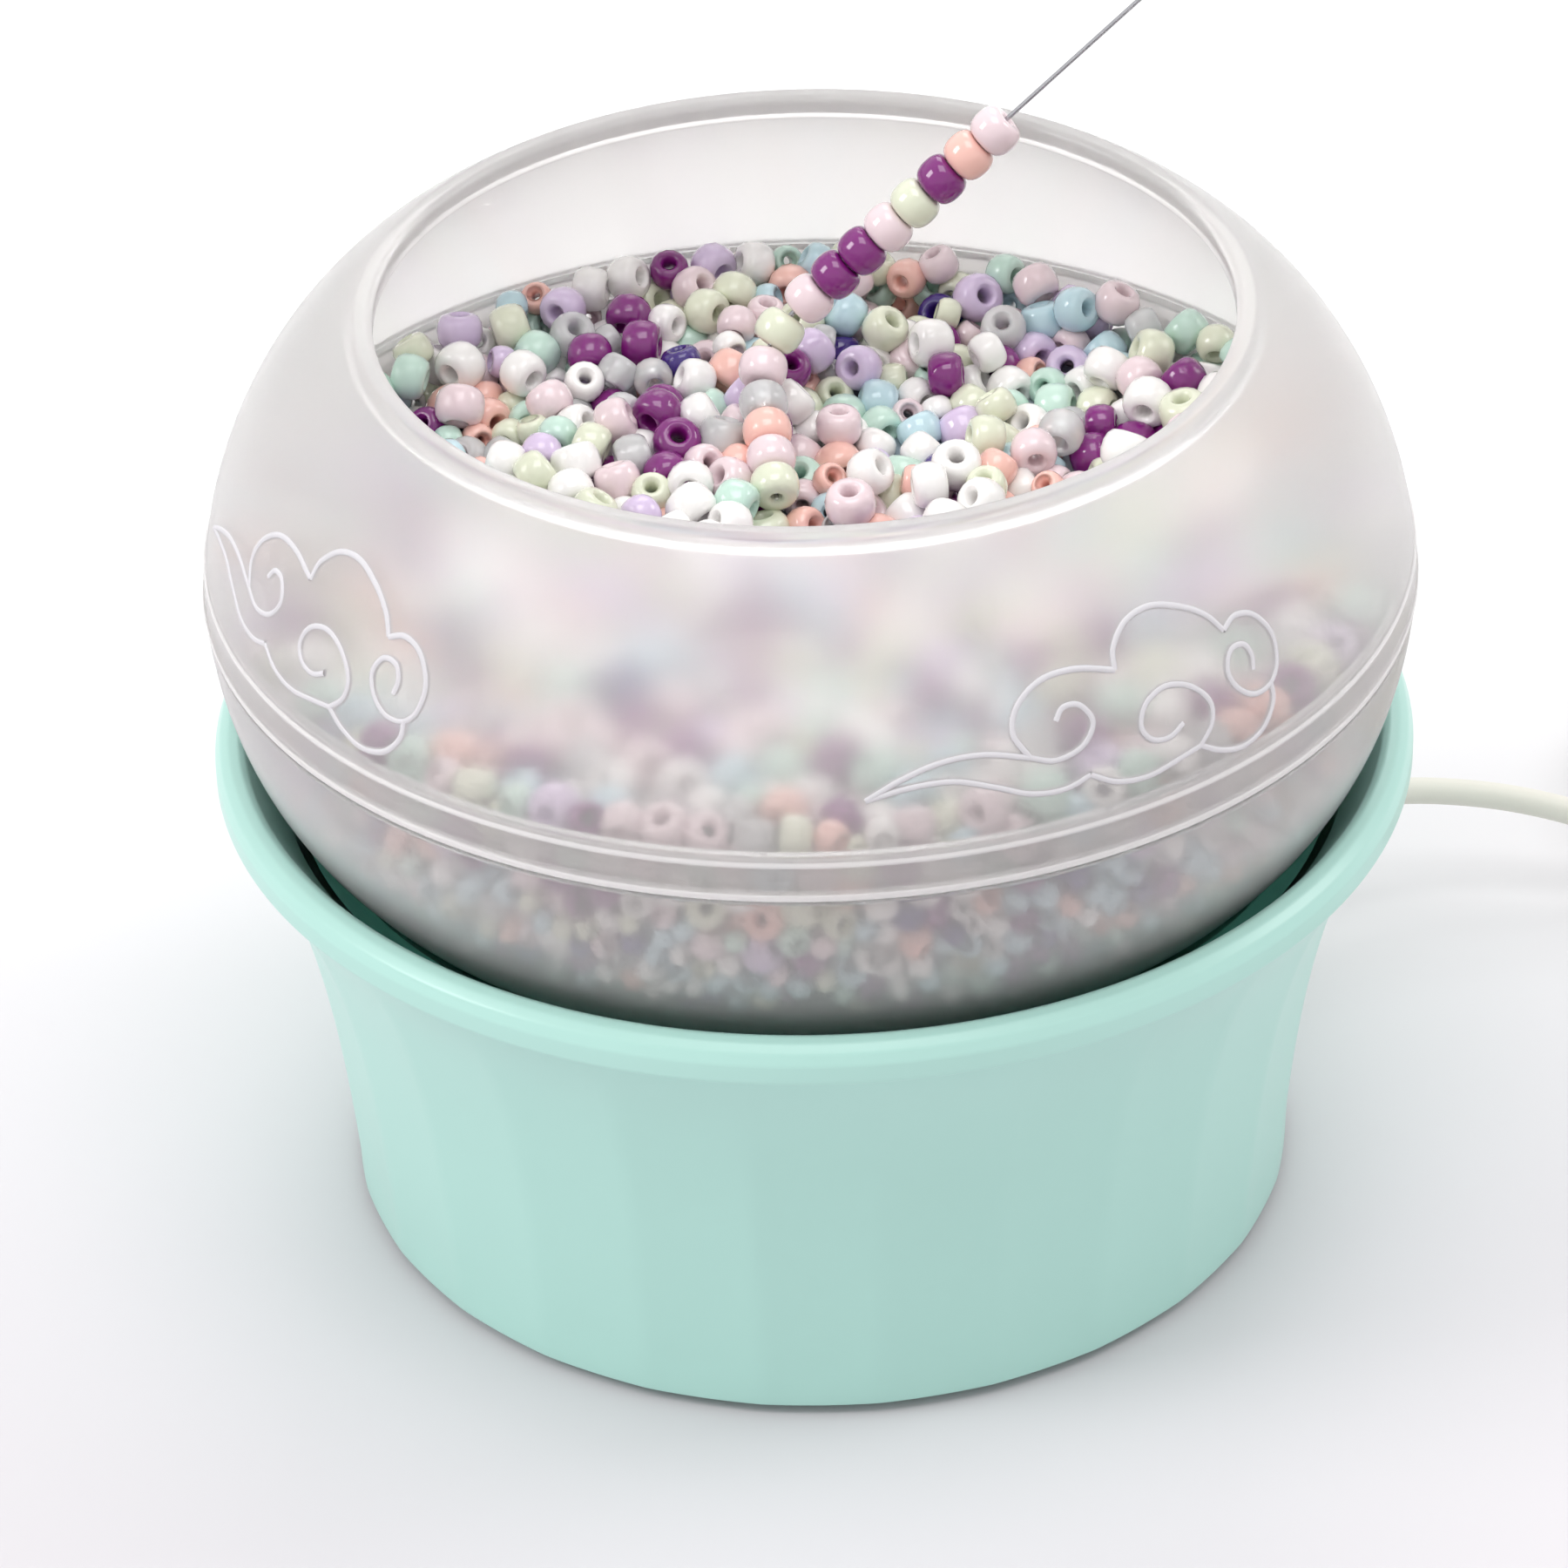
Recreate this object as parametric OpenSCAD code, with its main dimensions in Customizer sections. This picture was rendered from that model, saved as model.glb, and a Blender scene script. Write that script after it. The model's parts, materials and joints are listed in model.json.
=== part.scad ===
// Electric bead spinner: a frosted bowl of beads turned by a small motor in a flared base,
// with a hooked beading needle leaning in the bowl's mouth and a low-voltage lead.
// Millimetres, +Z up. The origin is the middle of the footprint, on the table.

/* [Base] */
// Height of the shell's lower edge above the table
foot_lift = 1.2; // [1:0.1:1.6]
// Radius of the shell at its foot, before the flare
foot_r = 49.3; // [49:0.1:50]
// Radius that the flare has gained at the rim
flare = 9.4; // [9:0.1:9.8]
// Height over which the flare dies away
flare_len = 14.6; // [13:0.1:16]
// Height of the rim band's lower edge
rim_z = 50.4; // [50:0.1:51]
// Outer radius of the rim band
rim_r = 61.8; // [61.5:0.1:62.2]
// Wall thickness of the shell
shell_t = 2.2; // [2:0.1:2.4]
// Height of the well's edge round the bowl
well_edge_z = 46.8; // [46:0.1:47]

/* [Bowl] */
// Radius of the lower bowl's outline where it stands upright
bowl_r = 61.85; // [61.5:0.05:62]
// Height at which the lower bowl's outline stands upright
bowl_top_z = 78.8; // [78.6:0.1:79]
// Depth of the lower bowl's outline
bowl_depth = 44.4; // [44.2:0.1:44.5]
// Roundness exponent of the lower bowl
bowl_power = 2.68; // [2.6:0.02:2.7]
// Wall thickness of the lower bowl
bowl_t = 1.8; // [1.6:0.1:1.9]
// Height of the seam between the lower bowl and the cover
seam_z = 71.3; // [71:0.1:71.5]

/* [Cover] */
// Outer radius of the band along the cover's lower edge
skirt_r = 61.8; // [61.6:0.1:61.9]
// Height of the ledge between the cover's belt and its dome
skirt_top_z = 75.4; // [75.2:0.1:75.6]
// Radius of the dome's centre ring
dome_ring_r = 36.2; // [36:0.1:36.4]
// Width of the dome outside its centre ring
dome_w = 25.2; // [25:0.1:25.4]
// Height of the dome's outline above its widest level
dome_h = 32.5; // [32.3:0.1:32.7]
// Roundness exponent of the dome
dome_power = 1.8; // [1.76:0.02:1.84]
// Radius of the mouth
mouth_r = 43; // [42:0.1:43.4]

/* [Drive] */
// Module of the gears
gear_module = 0.8; // [0.8:0.1:0.8]
// Teeth of the drive gear on the spindle
gear_teeth = 60; // [60:12:60]
// Teeth of the motor's pinion
pinion_teeth = 12; // [12:1:12]
// Direction of the motor from the spindle, in degrees
motor_dir = 215; // [210:1:220]
// Radius of the spindle shaft
shaft_r = 2; // [1.9:0.1:2]

/* [Beads] */
// Diameter of a large bead
bead_d = 5.2; // [4.8:0.1:5.2]
// Length of a large bead along its hole
bead_l = 3.7; // [3.4:0.1:3.7]
// Number of separate loose beads of each colour
beads_each = 34; // [8:1:36]
// Level of the beads in the middle of the bowl
fill_z = 69.4; // [68:0.1:69.6]
// How much higher the spinning has left the beads along the wall
heap_dish = 2.8; // [1:0.2:3]

/* [Needle] */
// Diameter of the needle's wire
wire_d = 0.5; // [0.4:0.1:0.6]
// Beads on the needle
strung = 14; // [6:1:14]

/* [Lead] */
// Diameter of the lead
lead_d = 3; // [2.8:0.1:3]
// Turns in the coil
coil_turns = 7; // [5:1:7]
// Step from one turn of the coil to the next
coil_step = 3.6; // [3.5:0.05:3.7]

/* [Hidden] */
$fn = 64;

// Fits and joints between pieces
slip = 0.02;
running = 0.04;
body_gap = 0.3;

// Heights inside the base, from the table up
cover_z = foot_lift + 0.2;
cover_t = 2;
flange_z = cover_z + cover_t;
flange_t = 1.6;
flange_in_r = 36;
plate_z = 18;
plate_t = 2.4;
plate_top = plate_z + plate_t;
gear_z = 22.2;
gear_t = 4;
well_floor_z = 32.6;
well_floor_t = 2;
well_under = well_floor_z - well_floor_t;
boss_z = 27.8;

// Well and lower bowl outlines
well_in_r = bowl_r - 0.25;
well_in_depth = bowl_depth + 1.6;
well_out_r = bowl_r + 0.45;
well_out_depth = bowl_depth + 3.8;
bowl_in_r = bowl_r - bowl_t;
bowl_in_depth = bowl_depth - bowl_t;
bowl_flat_z = bowl_top_z - bowl_depth + 0.6;
bowl_floor_z = bowl_flat_z + 1.9;
neck_r = skirt_r - 1.6;
neck_t = 1.6;
neck_top_z = 75.2;
neck_low_z = 72.2;
shoulder_z = 69.8;
heap_r = 58.3;
loose_r = 55.2;
bead_play = 0.05;

// Cover: belt, dome and lip
belt_r = skirt_r - 0.3;
belt_low_z = seam_z + 1;
cover_wall = 1.6;
dome_first = 8;
dome_last = 67.5;
dome_in_last = 62;
lip_z = 101.95;
lip_low_z = 99.2;
recess_r = 14.5;
recess_z = 38.4;
socket_r = 8.5;
socket_top = 44.4;

// Hub and its cross-shaped dog
hub_r = 12.5;
hub_z = 34.3;
hub_top = recess_z - body_gap;
dog_l = 12;
dog_w = 4;
dog_top = socket_top - 0.5;

// Screw posts, as directions round the spindle
post_r = 41;
post_dirs = [80, 170, 260, 350];
plate_post_r = 37;
plate_post_dirs = [15, 110, 305];
foot_ring_r = 38;
foot_dirs = [35, 125, 215, 305];
foot_pad_r = 5;
screw_r = 1.25;
post_body_r = 3.2;
post_end_z = 38.3;
plate_post_end_z = 36;
plate_hole_r = 1.1;

// Motor, hung from the gear plate beside the spindle
centre_distance = gear_module * (gear_teeth + pinion_teeth) / 2;
motor_x = centre_distance * cos(motor_dir);
motor_y = centre_distance * sin(motor_dir);
can_r = 12.2;
can_h = 12.4;
can_t = 0.8;
can_z = plate_z - can_h;
rotor_r = 1;
motor_screw_y = 7;
magnet_z = 8;
magnet_h = 8;
magnet_in_r = 9;
magnet_slot = 5;
armature_r = 8.4;
armature_z = 8.6;
armature_h = 6.6;
pinion_z = 21.7;
pinion_h = 5.1;
pressure = 20;

// Spindle, from its lower end up
spindle_z = 12;
groove_z = 13.7;
groove_h = 0.8;
groove_depth = 0.45;
spindle_top = 37;
hub_screw_z = 36.2;

// Lead: where it leaves the shell
exit_dir = 35;
exit_z = 14;
gland_tip = 62;

// Circuit board, on the bottom cover under the lead's way in
board_r = 23;
board_z = 7.4;
board_t = 1.6;
board_l = 20;
board_w = 30;

// Speed control on the lead, lying beside the coil
box_x = 140;
box_y = -7;
box_l = 42;
box_w = 18;
box_h = 11;
box_z = 0.2;
box_split = 5.5;
box_wall = 1.6;
box_screw_x = 15;
pot_shaft_r = 1.5;
sleeve_l = 5;

// Plug, lying beside the speed control
plug_x = 116;
plug_y = -27;
plug_z = 4.1;
grip_l = 22;
grip_w = 15.5;
grip_h = 8;
tube_w = 12;
tube_h = 4.5;
tube_l = 18.5;

// The lead's route from the gland to the coil
run_route = [
    [50.8, 35.6, 14], [55.7, 39, 14], [60.6, 41.7, 13.7], [66, 43.2, 13.2],
    [71.8, 43.6, 12.6], [77.6, 43.2, 11.9], [83.4, 42.2, 10.9], [88.8, 41, 9.5],
    [94, 40, 7.8], [99, 39.4, 5.8], [103.6, 39.1, 4], [108, 39, 2.6],
    [112, 39, 2], [115, 39, 1.9]
];
// From the coil to the speed control
link_route = [
    [118, 39, 5.5], [121, 39, 5.5], [126, 38.8, 5], [131, 37.4, 4.4], [135.4, 34.4, 4.1],
    [138.4, 30, 4.4], [139.8, 25, 5], [140, 22, 5.5], [140, 19, 5.5]
];
// From the speed control to the plug
tail_route = [
    [140, -33, 5.5], [140, -36, 5.5], [139.2, -40.6, 4.8], [136.6, -44.8, 3.6],
    [132.2, -47.4, 2.4], [127, -47.9, 1.8], [122, -46.2, 1.7], [118.4, -42.6, 2],
    [116.4, -38, 2.9], [116, -33.6, 3.9], [116, -30, 4.1], [116, -27, 4.1]
];
// Inside the base, from the gland to the socket on the board
inner_route = [
    [37, 25.9, 14], [34.5, 24.2, 14], [32, 22.4, 13.6], [29.4, 20.6, 12.4], [27.4, 19.2, 11.4],
    [24.9, 17.4, 11.4]
];
red_route = [[-17.6, -13.4, 4.5], [-13, -9, 4.6], [-6, -4, 5.2], [0, 1, 6.6], [5, 5.6, 8], [9.3, 8.6, 8.2]];
black_route = [[-20.7, -9, 4.5], [-15, -5, 4.6], [-8, 0, 5.2], [-2, 5.4, 6.6], [3, 9.6, 8], [6.9, 12, 8.2]];

// Coil: turns wound inwards on the table, then outwards on top of them
coil_x = 115;
coil_y = 62;
coil_z = 1.9;
coil_out_r = 23;
coil_rings = 24;
coil_in_turns = (coil_turns - 0.5) / 2;
coil_in_r = coil_out_r - coil_step * coil_in_turns;
draw_in = 0.5;

// Needle: its last strung bead rests on the far side of the lip, and its hook lies in the beads
knee = [-5.2, 31.2, 79];
over_lip = [21.9, 35.3, 103.4];
dip = [0.09, -0.946, -0.311];
bend_len = 7;
straight_len = 66;
eye_l = 6;
dip_len = 21.5;
bend_steps = 8;
first_bead_s = 2;
bead_hole_r = 0.55;
loose_hole_r = 1;

// Outline of revolution whose wall stands upright at top_z and closes at top_z - depth
function cup_r(z, r, depth) =
    r * pow(max(0, 1 - pow((bowl_top_z - z) / depth, bowl_power)), 1 / bowl_power);
// Points of that outline from z0 up to z1
function cup(z0, z1, r, depth, n) =
    [for (i = [0:n]) let (z = z0 + (z1 - z0) * pow(i / n, 1.6)) [cup_r(z, r, depth), z]];
function flip(list) = [for (i = [len(list) - 1:-1:0]) list[i]];
// Outer radius of the shell at a height
function wall_r(z) = foot_r + 0.05 * (z - foot_lift) + flare * exp((z - rim_z) / flare_len);
// Dome outline, given by how far round the curve it has gone
function dome(a, inset) =
    [dome_ring_r - inset + (dome_w - 0.3 * inset) * pow(cos(a), 2 / dome_power),
     bowl_top_z - 6.6 + (dome_h - 0.8 * inset) * pow(sin(a), 2 / dome_power)];
function heap_z(r) = fill_z + heap_dish * pow(r / heap_r, 2);
function heap_slope(r) = 2 * heap_dish * r / pow(heap_r, 2);

// Unit vector, and the frame of rings swept along a route
function unit(v) = v / norm(v);
lean = unit(over_lip - knee);
function way(route, i) =
    i == 0 ? unit(route[1] - route[0]) :
    i == len(route) - 1 ? unit(route[i] - route[i - 1]) :
    unit(route[i + 1] - route[i - 1]);
function ring(centre, dir, r, sides) =
    let (side = unit(cross(dir, [0, 0.01, 1])), top = cross(side, dir))
    [for (k = [0:sides - 1]) let (a = 360 * (k + 0.5) / sides)
        centre + r * (cos(a) * side + sin(a) * top)];

module tube(route, r, sides) {
    n = len(route);
    rings = [for (i = [0:n - 1]) each ring(route[i], way(route, i), r, sides)];
    walls = [for (i = [0:n - 2], k = [0:sides - 1])
        let (a = i * sides + k, b = i * sides + (k + 1) % sides)
        each [[a, b, b + sides], [a, b + sides, a + sides]]];
    ends = [
        each [for (k = [1:sides - 2]) [0, k + 1, k]],
        each [for (k = [1:sides - 2]) [(n - 1) * sides, (n - 1) * sides + k, (n - 1) * sides + k + 1]]
    ];
    polyhedron(points = rings, faces = concat(walls, ends));
}

// Coil centreline after t turns, and how far it has climbed in its half turn of reversal
function climb(t) = min(1, max(0, (t - coil_in_turns) / 0.5));
function coil_r(t) =
    t < coil_in_turns ? coil_out_r - coil_step * t :
    coil_in_r - draw_in * sin(180 * climb(t)) + coil_step * max(0, t - coil_in_turns - 0.5);
function coil_at(t) =
    [coil_x + coil_r(t) * sin(360 * t), coil_y - coil_r(t) * cos(360 * t), coil_z + coil_step * climb(t)];
coil_route = concat(
    [for (i = [0:coil_turns * coil_rings]) coil_at(i / coil_rings)],
    [[coil_x + lead_d, coil_y - coil_out_r, coil_z + coil_step]]
);
coil_gap = min([for (i = [0:len(coil_route) - 1], j = [0:i])
    if (i - j > coil_rings / 2) norm(coil_route[i] - coil_route[j])]) - lead_d;
echo(least_gap_in_coil = coil_gap);

// Needle centreline, from the buried tip to the eye
needle_route = concat(
    [knee + dip * dip_len],
    [for (i = [0:bend_steps]) let (s = i / bend_steps)
        knee + pow(1 - s, 2) * dip * bend_len + pow(s, 2) * lean * bend_len],
    [knee + lean * (straight_len - eye_l)]
);
// Length along the needle to each point of its route, and the place at a length
needle_len = [for (i = [0:len(needle_route) - 1])
    i == 0 ? 0 : [for (j = 1, s = norm(needle_route[1] - needle_route[0]); j <= i;
        j = j + 1, s = s + (j <= i ? norm(needle_route[j] - needle_route[j - 1]) : 0)) s][i - 1]];
function needle_seg(s) = max([for (i = [0:len(needle_len) - 2]) if (needle_len[i] <= s) i]);
function needle_at(s) =
    let (i = needle_seg(s), f = (s - needle_len[i]) / (needle_len[i + 1] - needle_len[i]))
    needle_route[i] + f * (needle_route[i + 1] - needle_route[i]);

module polar(dir, r) rotate([0, 0, dir]) translate([r, 0, 0]) children();
// Turns +Z to point along a direction
module aim(v) rotate([0, acos(v[2] / norm(v)), atan2(v[1], v[0])]) children();

// Slab with four rounded corners, centred in plan
module slab(l, w, h, r) {
    translate([-l / 2 + r, -w / 2, 0]) cube([l - 2 * r, w, h]);
    translate([-l / 2, -w / 2 + r, 0]) cube([l, w - 2 * r, h]);
    for (x = [-1, 1], y = [-1, 1])
        translate([x * (l / 2 - r), y * (w / 2 - r), 0]) cylinder(h = h, r = r);
}

// Barrel-shaped bead round +Z
module bead(d, l, hole_r) {
    steps = 8;
    rotate_extrude() polygon(concat(
        [for (i = [0:steps]) let (a = -90 + 180 * i / steps)
            [d / 2 - 0.34 * l + 0.34 * l * cos(a), l / 2 * sin(a) * (1.12 - 0.12 * abs(sin(a)))]],
        [[hole_r + 0.35, l / 2 - 0.02], [hole_r, l / 2 - 0.35], [hole_r, -l / 2 + 0.35],
         [hole_r + 0.35, -l / 2 + 0.02]]
    ));
}

// Screw pointing up, with its head below z = 0
module screw(shank_r, length, head_r, head_h) {
    difference() {
        union() {
            cylinder(h = length, r = shank_r);
            translate([0, 0, -head_h]) cylinder(h = head_h, r = head_r);
        }
        for (a = [0, 90]) rotate([0, 0, a])
            translate([-head_r * 0.6, -0.25, -head_h - 1]) cube([head_r * 1.2, 0.5, 1 + head_h * 0.5]);
    }
}

// Spur gear with involute flanks
function inv(a) = tan(a) * 180 / PI - a;
function flank_half(r, teeth, play) =
    let (base = gear_module * teeth / 2 * cos(pressure), a = acos(min(1, base / r)))
    90 / teeth + inv(pressure) - inv(a) - play;
module spur(teeth, height, addendum, play) {
    pitch = gear_module * teeth / 2;
    root = pitch - 1.25 * gear_module;
    tip = pitch + addendum;
    base = max(root, pitch * cos(pressure));
    radii = [root, for (i = [0:3]) base + (tip - base) * i / 3];
    linear_extrude(height) polygon([for (t = [0:teeth - 1]) each concat(
        [for (r = radii) let (a = 360 * t / teeth - flank_half(max(r, base), teeth, play))
            r * [cos(a), sin(a)]],
        [for (r = flip(radii)) let (a = 360 * t / teeth + flank_half(max(r, base), teeth, play))
            r * [cos(a), sin(a)]]
    )]);
}

module base_shell() {
    wall_steps = 14;
    outer = [for (i = [0:wall_steps]) let (z = foot_lift + (rim_z - 0.6 - foot_lift) * i / wall_steps)
        [wall_r(z), z]];
    band = [
        [rim_r - 0.4, rim_z - 0.2], [rim_r, rim_z + 0.5], [rim_r, rim_z + 1.8], [rim_r - 0.5, rim_z + 2.9],
        [rim_r - 1.4, rim_z + 3.6], [rim_r - 2.4, rim_z + 3.8], [rim_r - 3.1, rim_z + 3.5], [58.3, 53.3],
        [54.9, 48.2], [54.9, 47.2]
    ];
    inner_z = flange_z + flange_t;
    inner_h = 45.6 - inner_z;
    inner = [for (i = [wall_steps - 1:-1:0]) let (z = inner_z + inner_h * i / wall_steps)
        [wall_r(z) - shell_t, z]];
    color("#b4e0d5") difference() {
        rotate_extrude() polygon(concat(outer, band, inner, [
            [flange_in_r, inner_z], [flange_in_r, flange_z],
            [foot_r - 1.7, flange_z], [foot_r - 1.7, foot_lift]
        ]));
        for (a = post_dirs) polar(a, post_r)
            translate([0, 0, flange_z - 1]) cylinder(h = flange_t + 2, r = screw_r + 0.35);
        rotate([0, 0, exit_dir]) translate([foot_r - 6, 0, exit_z])
            rotate([0, 90, 0]) cylinder(h = 12, r = 3.25);
    }
}

module bowl_well() {
    low = well_floor_z + 1;
    post_z = flange_z + flange_t;
    color("#a5d3c7") difference() {
        union() {
            rotate_extrude() polygon(concat(
                [[0, well_under]],
                cup(well_under + 0.6, well_edge_z, well_out_r, well_out_depth, 10),
                flip(cup(low, well_edge_z, well_in_r, well_in_depth, 10)),
                [[18, well_floor_z], [0, well_floor_z]]
            ));
            translate([0, 0, boss_z]) cylinder(h = well_floor_z - boss_z, r = 6.5);
            for (a = post_dirs) polar(a, post_r)
                translate([0, 0, post_z]) cylinder(h = post_end_z - post_z, r = post_body_r);
            for (a = plate_post_dirs) polar(a, plate_post_r)
                translate([0, 0, plate_top]) cylinder(h = plate_post_end_z - plate_top, r = post_body_r);
        }
        translate([0, 0, boss_z - 1]) cylinder(h = 8, r = 3.5 + slip);
        for (a = post_dirs) polar(a, post_r)
            translate([0, 0, flange_z]) cylinder(h = 12, r = screw_r + slip);
        for (a = plate_post_dirs) polar(a, plate_post_r)
            translate([0, 0, plate_top - 1]) cylinder(h = 8, r = plate_hole_r + slip);
    }
}

module bottom_cover() {
    color("#a5d3c7") difference() {
        union() {
            translate([0, 0, cover_z]) cylinder(h = cover_t, r = foot_r - 1.9);
            rotate([0, 0, exit_dir]) for (y = [-1, 1])
                translate([board_r, y * (board_w / 2 - 3), flange_z])
                    cylinder(h = board_z - flange_z, r = 2.4);
        }
        for (a = post_dirs) polar(a, post_r) {
            translate([0, 0, cover_z - 1]) cylinder(h = 2.3, r = 3.1);
            translate([0, 0, cover_z]) cylinder(h = cover_t + 1, r = screw_r + 0.35);
        }
        for (a = foot_dirs) polar(a, foot_ring_r)
            translate([0, 0, cover_z - 1]) cylinder(h = 1.5, r = foot_pad_r + 0.1);
        rotate([0, 0, exit_dir]) for (y = [-1, 1])
            translate([board_r, y * (board_w / 2 - 3), board_z - 3]) cylinder(h = 4, r = 0.9 + slip);
    }
}

module rubber_feet() {
    color("#5d6664") for (a = foot_dirs) polar(a, foot_ring_r) {
        translate([0, 0, 0.5]) cylinder(h = cover_z, r = foot_pad_r);
        cylinder(h = 0.5, r1 = foot_pad_r - 0.5, r2 = foot_pad_r);
    }
}

module cover_screws() {
    color("silver") for (a = post_dirs) polar(a, post_r)
        translate([0, 0, cover_z + 1.3]) screw(screw_r, 12, 2.8, 1.2);
}

module gear_plate() {
    color("#e9e7e2") difference() {
        union() {
            translate([0, 0, plate_z]) cylinder(h = plate_t, r = 40.6);
            translate([0, 0, plate_z - 3]) cylinder(h = 3, r = 6.5);
        }
        translate([0, 0, plate_z - 4]) cylinder(h = 8, r = 3.5 + slip);
        translate([motor_x, motor_y, plate_z - 1]) cylinder(h = 5, r = 3.3);
        translate([motor_x, motor_y, plate_z - 1]) rotate([0, 0, motor_dir])
            for (y = [-1, 1]) translate([0, y * motor_screw_y, 0]) cylinder(h = 5, r = 1.1);
        for (a = plate_post_dirs) polar(a, plate_post_r)
            translate([0, 0, plate_z - 1]) cylinder(h = 5, r = plate_hole_r + 0.3);
        for (a = post_dirs) polar(a, post_r)
            translate([0, 0, plate_z - 1]) cylinder(h = 5, r = post_body_r + 0.4);
        rotate([0, 0, 160]) translate([28, 0, plate_z - 1]) cylinder(h = 5, r = 6);
    }
}

module plate_screws() {
    color("silver") for (a = plate_post_dirs) polar(a, plate_post_r)
        translate([0, 0, plate_z]) screw(plate_hole_r, 8, 2.2, 1.4);
}

module at_motor() translate([motor_x, motor_y, 0]) rotate([0, 0, motor_dir]) children();

module motor_can() {
    color("#c3c6c8") at_motor() difference() {
        union() {
            translate([0, 0, can_z]) cylinder(h = can_h, r = can_r);
            translate([0, 0, plate_z]) cylinder(h = 1.6, r = 3.1);
        }
        translate([0, 0, can_z - 1]) cylinder(h = can_h + 1 - can_t, r = can_r - can_t);
        translate([0, 0, can_z]) cylinder(h = 20, r = rotor_r + running);
        for (y = [-1, 1]) translate([0, y * motor_screw_y, plate_z - 2]) cylinder(h = 3, r = 0.9 + slip);
    }
}

module motor_end_cap() {
    color("#f2efe6") at_motor() difference() {
        translate([0, 0, can_z]) cylinder(h = 1.6, r = can_r - can_t - slip);
        translate([0, 0, can_z + 0.4]) cylinder(h = 2, r = rotor_r + running);
    }
}

module motor_terminals() {
    color("#c9a24b") at_motor() for (y = [-5, 5])
        translate([5.5, y - 1, can_z - 1.7]) cube([0.4, 2, 1.7]);
}

module motor_magnets() {
    color("#4a4a4d") at_motor() difference() {
        translate([0, 0, magnet_z]) cylinder(h = magnet_h, r = can_r - can_t - slip);
        translate([0, 0, magnet_z - 1]) cylinder(h = magnet_h + 2, r = magnet_in_r);
        translate([-can_r, -magnet_slot / 2, magnet_z - 1]) cube([2 * can_r, magnet_slot, magnet_h + 2]);
    }
}

module motor_screws() {
    color("silver") at_motor() for (y = [-1, 1])
        translate([0, y * motor_screw_y, plate_top]) mirror([0, 0, 1]) screw(0.9, 3.4, 1.7, 0.9);
}

module bush(top, body_h, flange_h) {
    difference() {
        union() {
            translate([0, 0, top - body_h]) cylinder(h = body_h, r = 3.5);
            translate([0, 0, top]) cylinder(h = flange_h, r = 5);
        }
        translate([0, 0, top - body_h - 1]) cylinder(h = body_h + flange_h + 2, r = shaft_r + running);
    }
}
module upper_bush() color("#c08a4a") bush(well_floor_z, well_floor_z - boss_z, 0.8);
module lower_bush() color("#c08a4a") bush(plate_top, plate_t + 3, 0.8);

module thrust_washer() {
    color("#ece9df") difference() {
        translate([0, 0, well_floor_z + 0.8]) cylinder(h = 0.5, r = 5);
        translate([0, 0, well_floor_z]) cylinder(h = 3, r = shaft_r + 0.1);
    }
}

module at_board() rotate([0, 0, exit_dir]) translate([board_r, 0, board_z]) children();

module circuit_board() {
    color("#2f7d4f") at_board() difference() {
        union() {
            translate([-board_l / 2, -board_w / 2, 0]) cube([board_l, board_w, board_t]);
            translate([-6, -8, board_t]) cube([5, 5, 1.4]);
            for (y = [0, 3, 6]) translate([-6, y, board_t]) cube([3, 1.6, 0.7]);
        }
        for (y = [-1, 1]) translate([0, y * (board_w / 2 - 3), -1]) cylinder(h = 4, r = 1.1);
    }
}

module board_capacitor() {
    color("#3b4a73") at_board() translate([-6.5, -11.5, board_t]) cylinder(h = 6, r = 2.5);
}

module lead_socket() {
    color("#f0ede4") at_board() difference() {
        translate([2, -3.5, board_t]) cube([5, 7, 5]);
        translate([6, -2.5, board_t + 0.8]) cube([2, 5, 3]);
    }
}

module board_screws() {
    color("silver") at_board() for (y = [-1, 1])
        translate([0, y * (board_w / 2 - 3), board_t]) mirror([0, 0, 1]) screw(0.9, 4, 1.8, 1.1);
}

module lead_red() color("#c23b33") tube(red_route, 0.6, 8);
module lead_black() color("#2c2c2e") tube(black_route, 0.6, 8);
module inner_lead() color("#e8e5dd") tube(inner_route, lead_d / 2, 8);

module cord_gland() {
    color("#e8e5dd") rotate([0, 0, exit_dir]) translate([0, 0, exit_z]) rotate([0, 90, 0])
        rotate_extrude() polygon([
            [0, 45.2], [4.2, 45.2], [4.2, 48], [3.2, 48.1], [3.2, 51], [4.1, 51.1], [4.1, 52.2],
            [3, 53], [2.6, 56], [2.2, 59], [2, gland_tip], [0, gland_tip]
        ]);
}

module motor_shaft() {
    color("#b9bcc0") at_motor() translate([0, 0, can_z + 0.5]) cylinder(h = 21.3, r = rotor_r);
}

module armature() {
    color("#a5713d") at_motor() difference() {
        union() {
            translate([0, 0, armature_z]) cylinder(h = armature_h, r = armature_r);
            translate([0, 0, armature_z - 1]) cylinder(h = 1.2, r = 3);
        }
        for (a = [0:60:300]) rotate([0, 0, a])
            translate([5, -1, armature_z - 0.6]) cube([6, 2, armature_h + 1.4]);
        translate([0, 0, armature_z - 2]) cylinder(h = armature_h + 4, r = rotor_r + slip);
    }
}

module pinion() {
    color("#e9e7e2") translate([motor_x, motor_y, pinion_z]) difference() {
        rotate([0, 0, motor_dir - 180]) spur(pinion_teeth, pinion_h, 0.8, 1.1);
        translate([0, 0, -1]) cylinder(h = pinion_h + 3, r = rotor_r + slip);
    }
}

module spindle_shaft() {
    color("#b9bcc0") {
        translate([0, 0, spindle_z]) cylinder(h = groove_z - spindle_z, r = shaft_r);
        translate([0, 0, groove_z - 0.5]) cylinder(h = groove_h + 1, r = shaft_r - groove_depth);
        translate([0, 0, groove_z + groove_h]) cylinder(h = spindle_top - groove_z - groove_h, r = shaft_r);
    }
}

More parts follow.
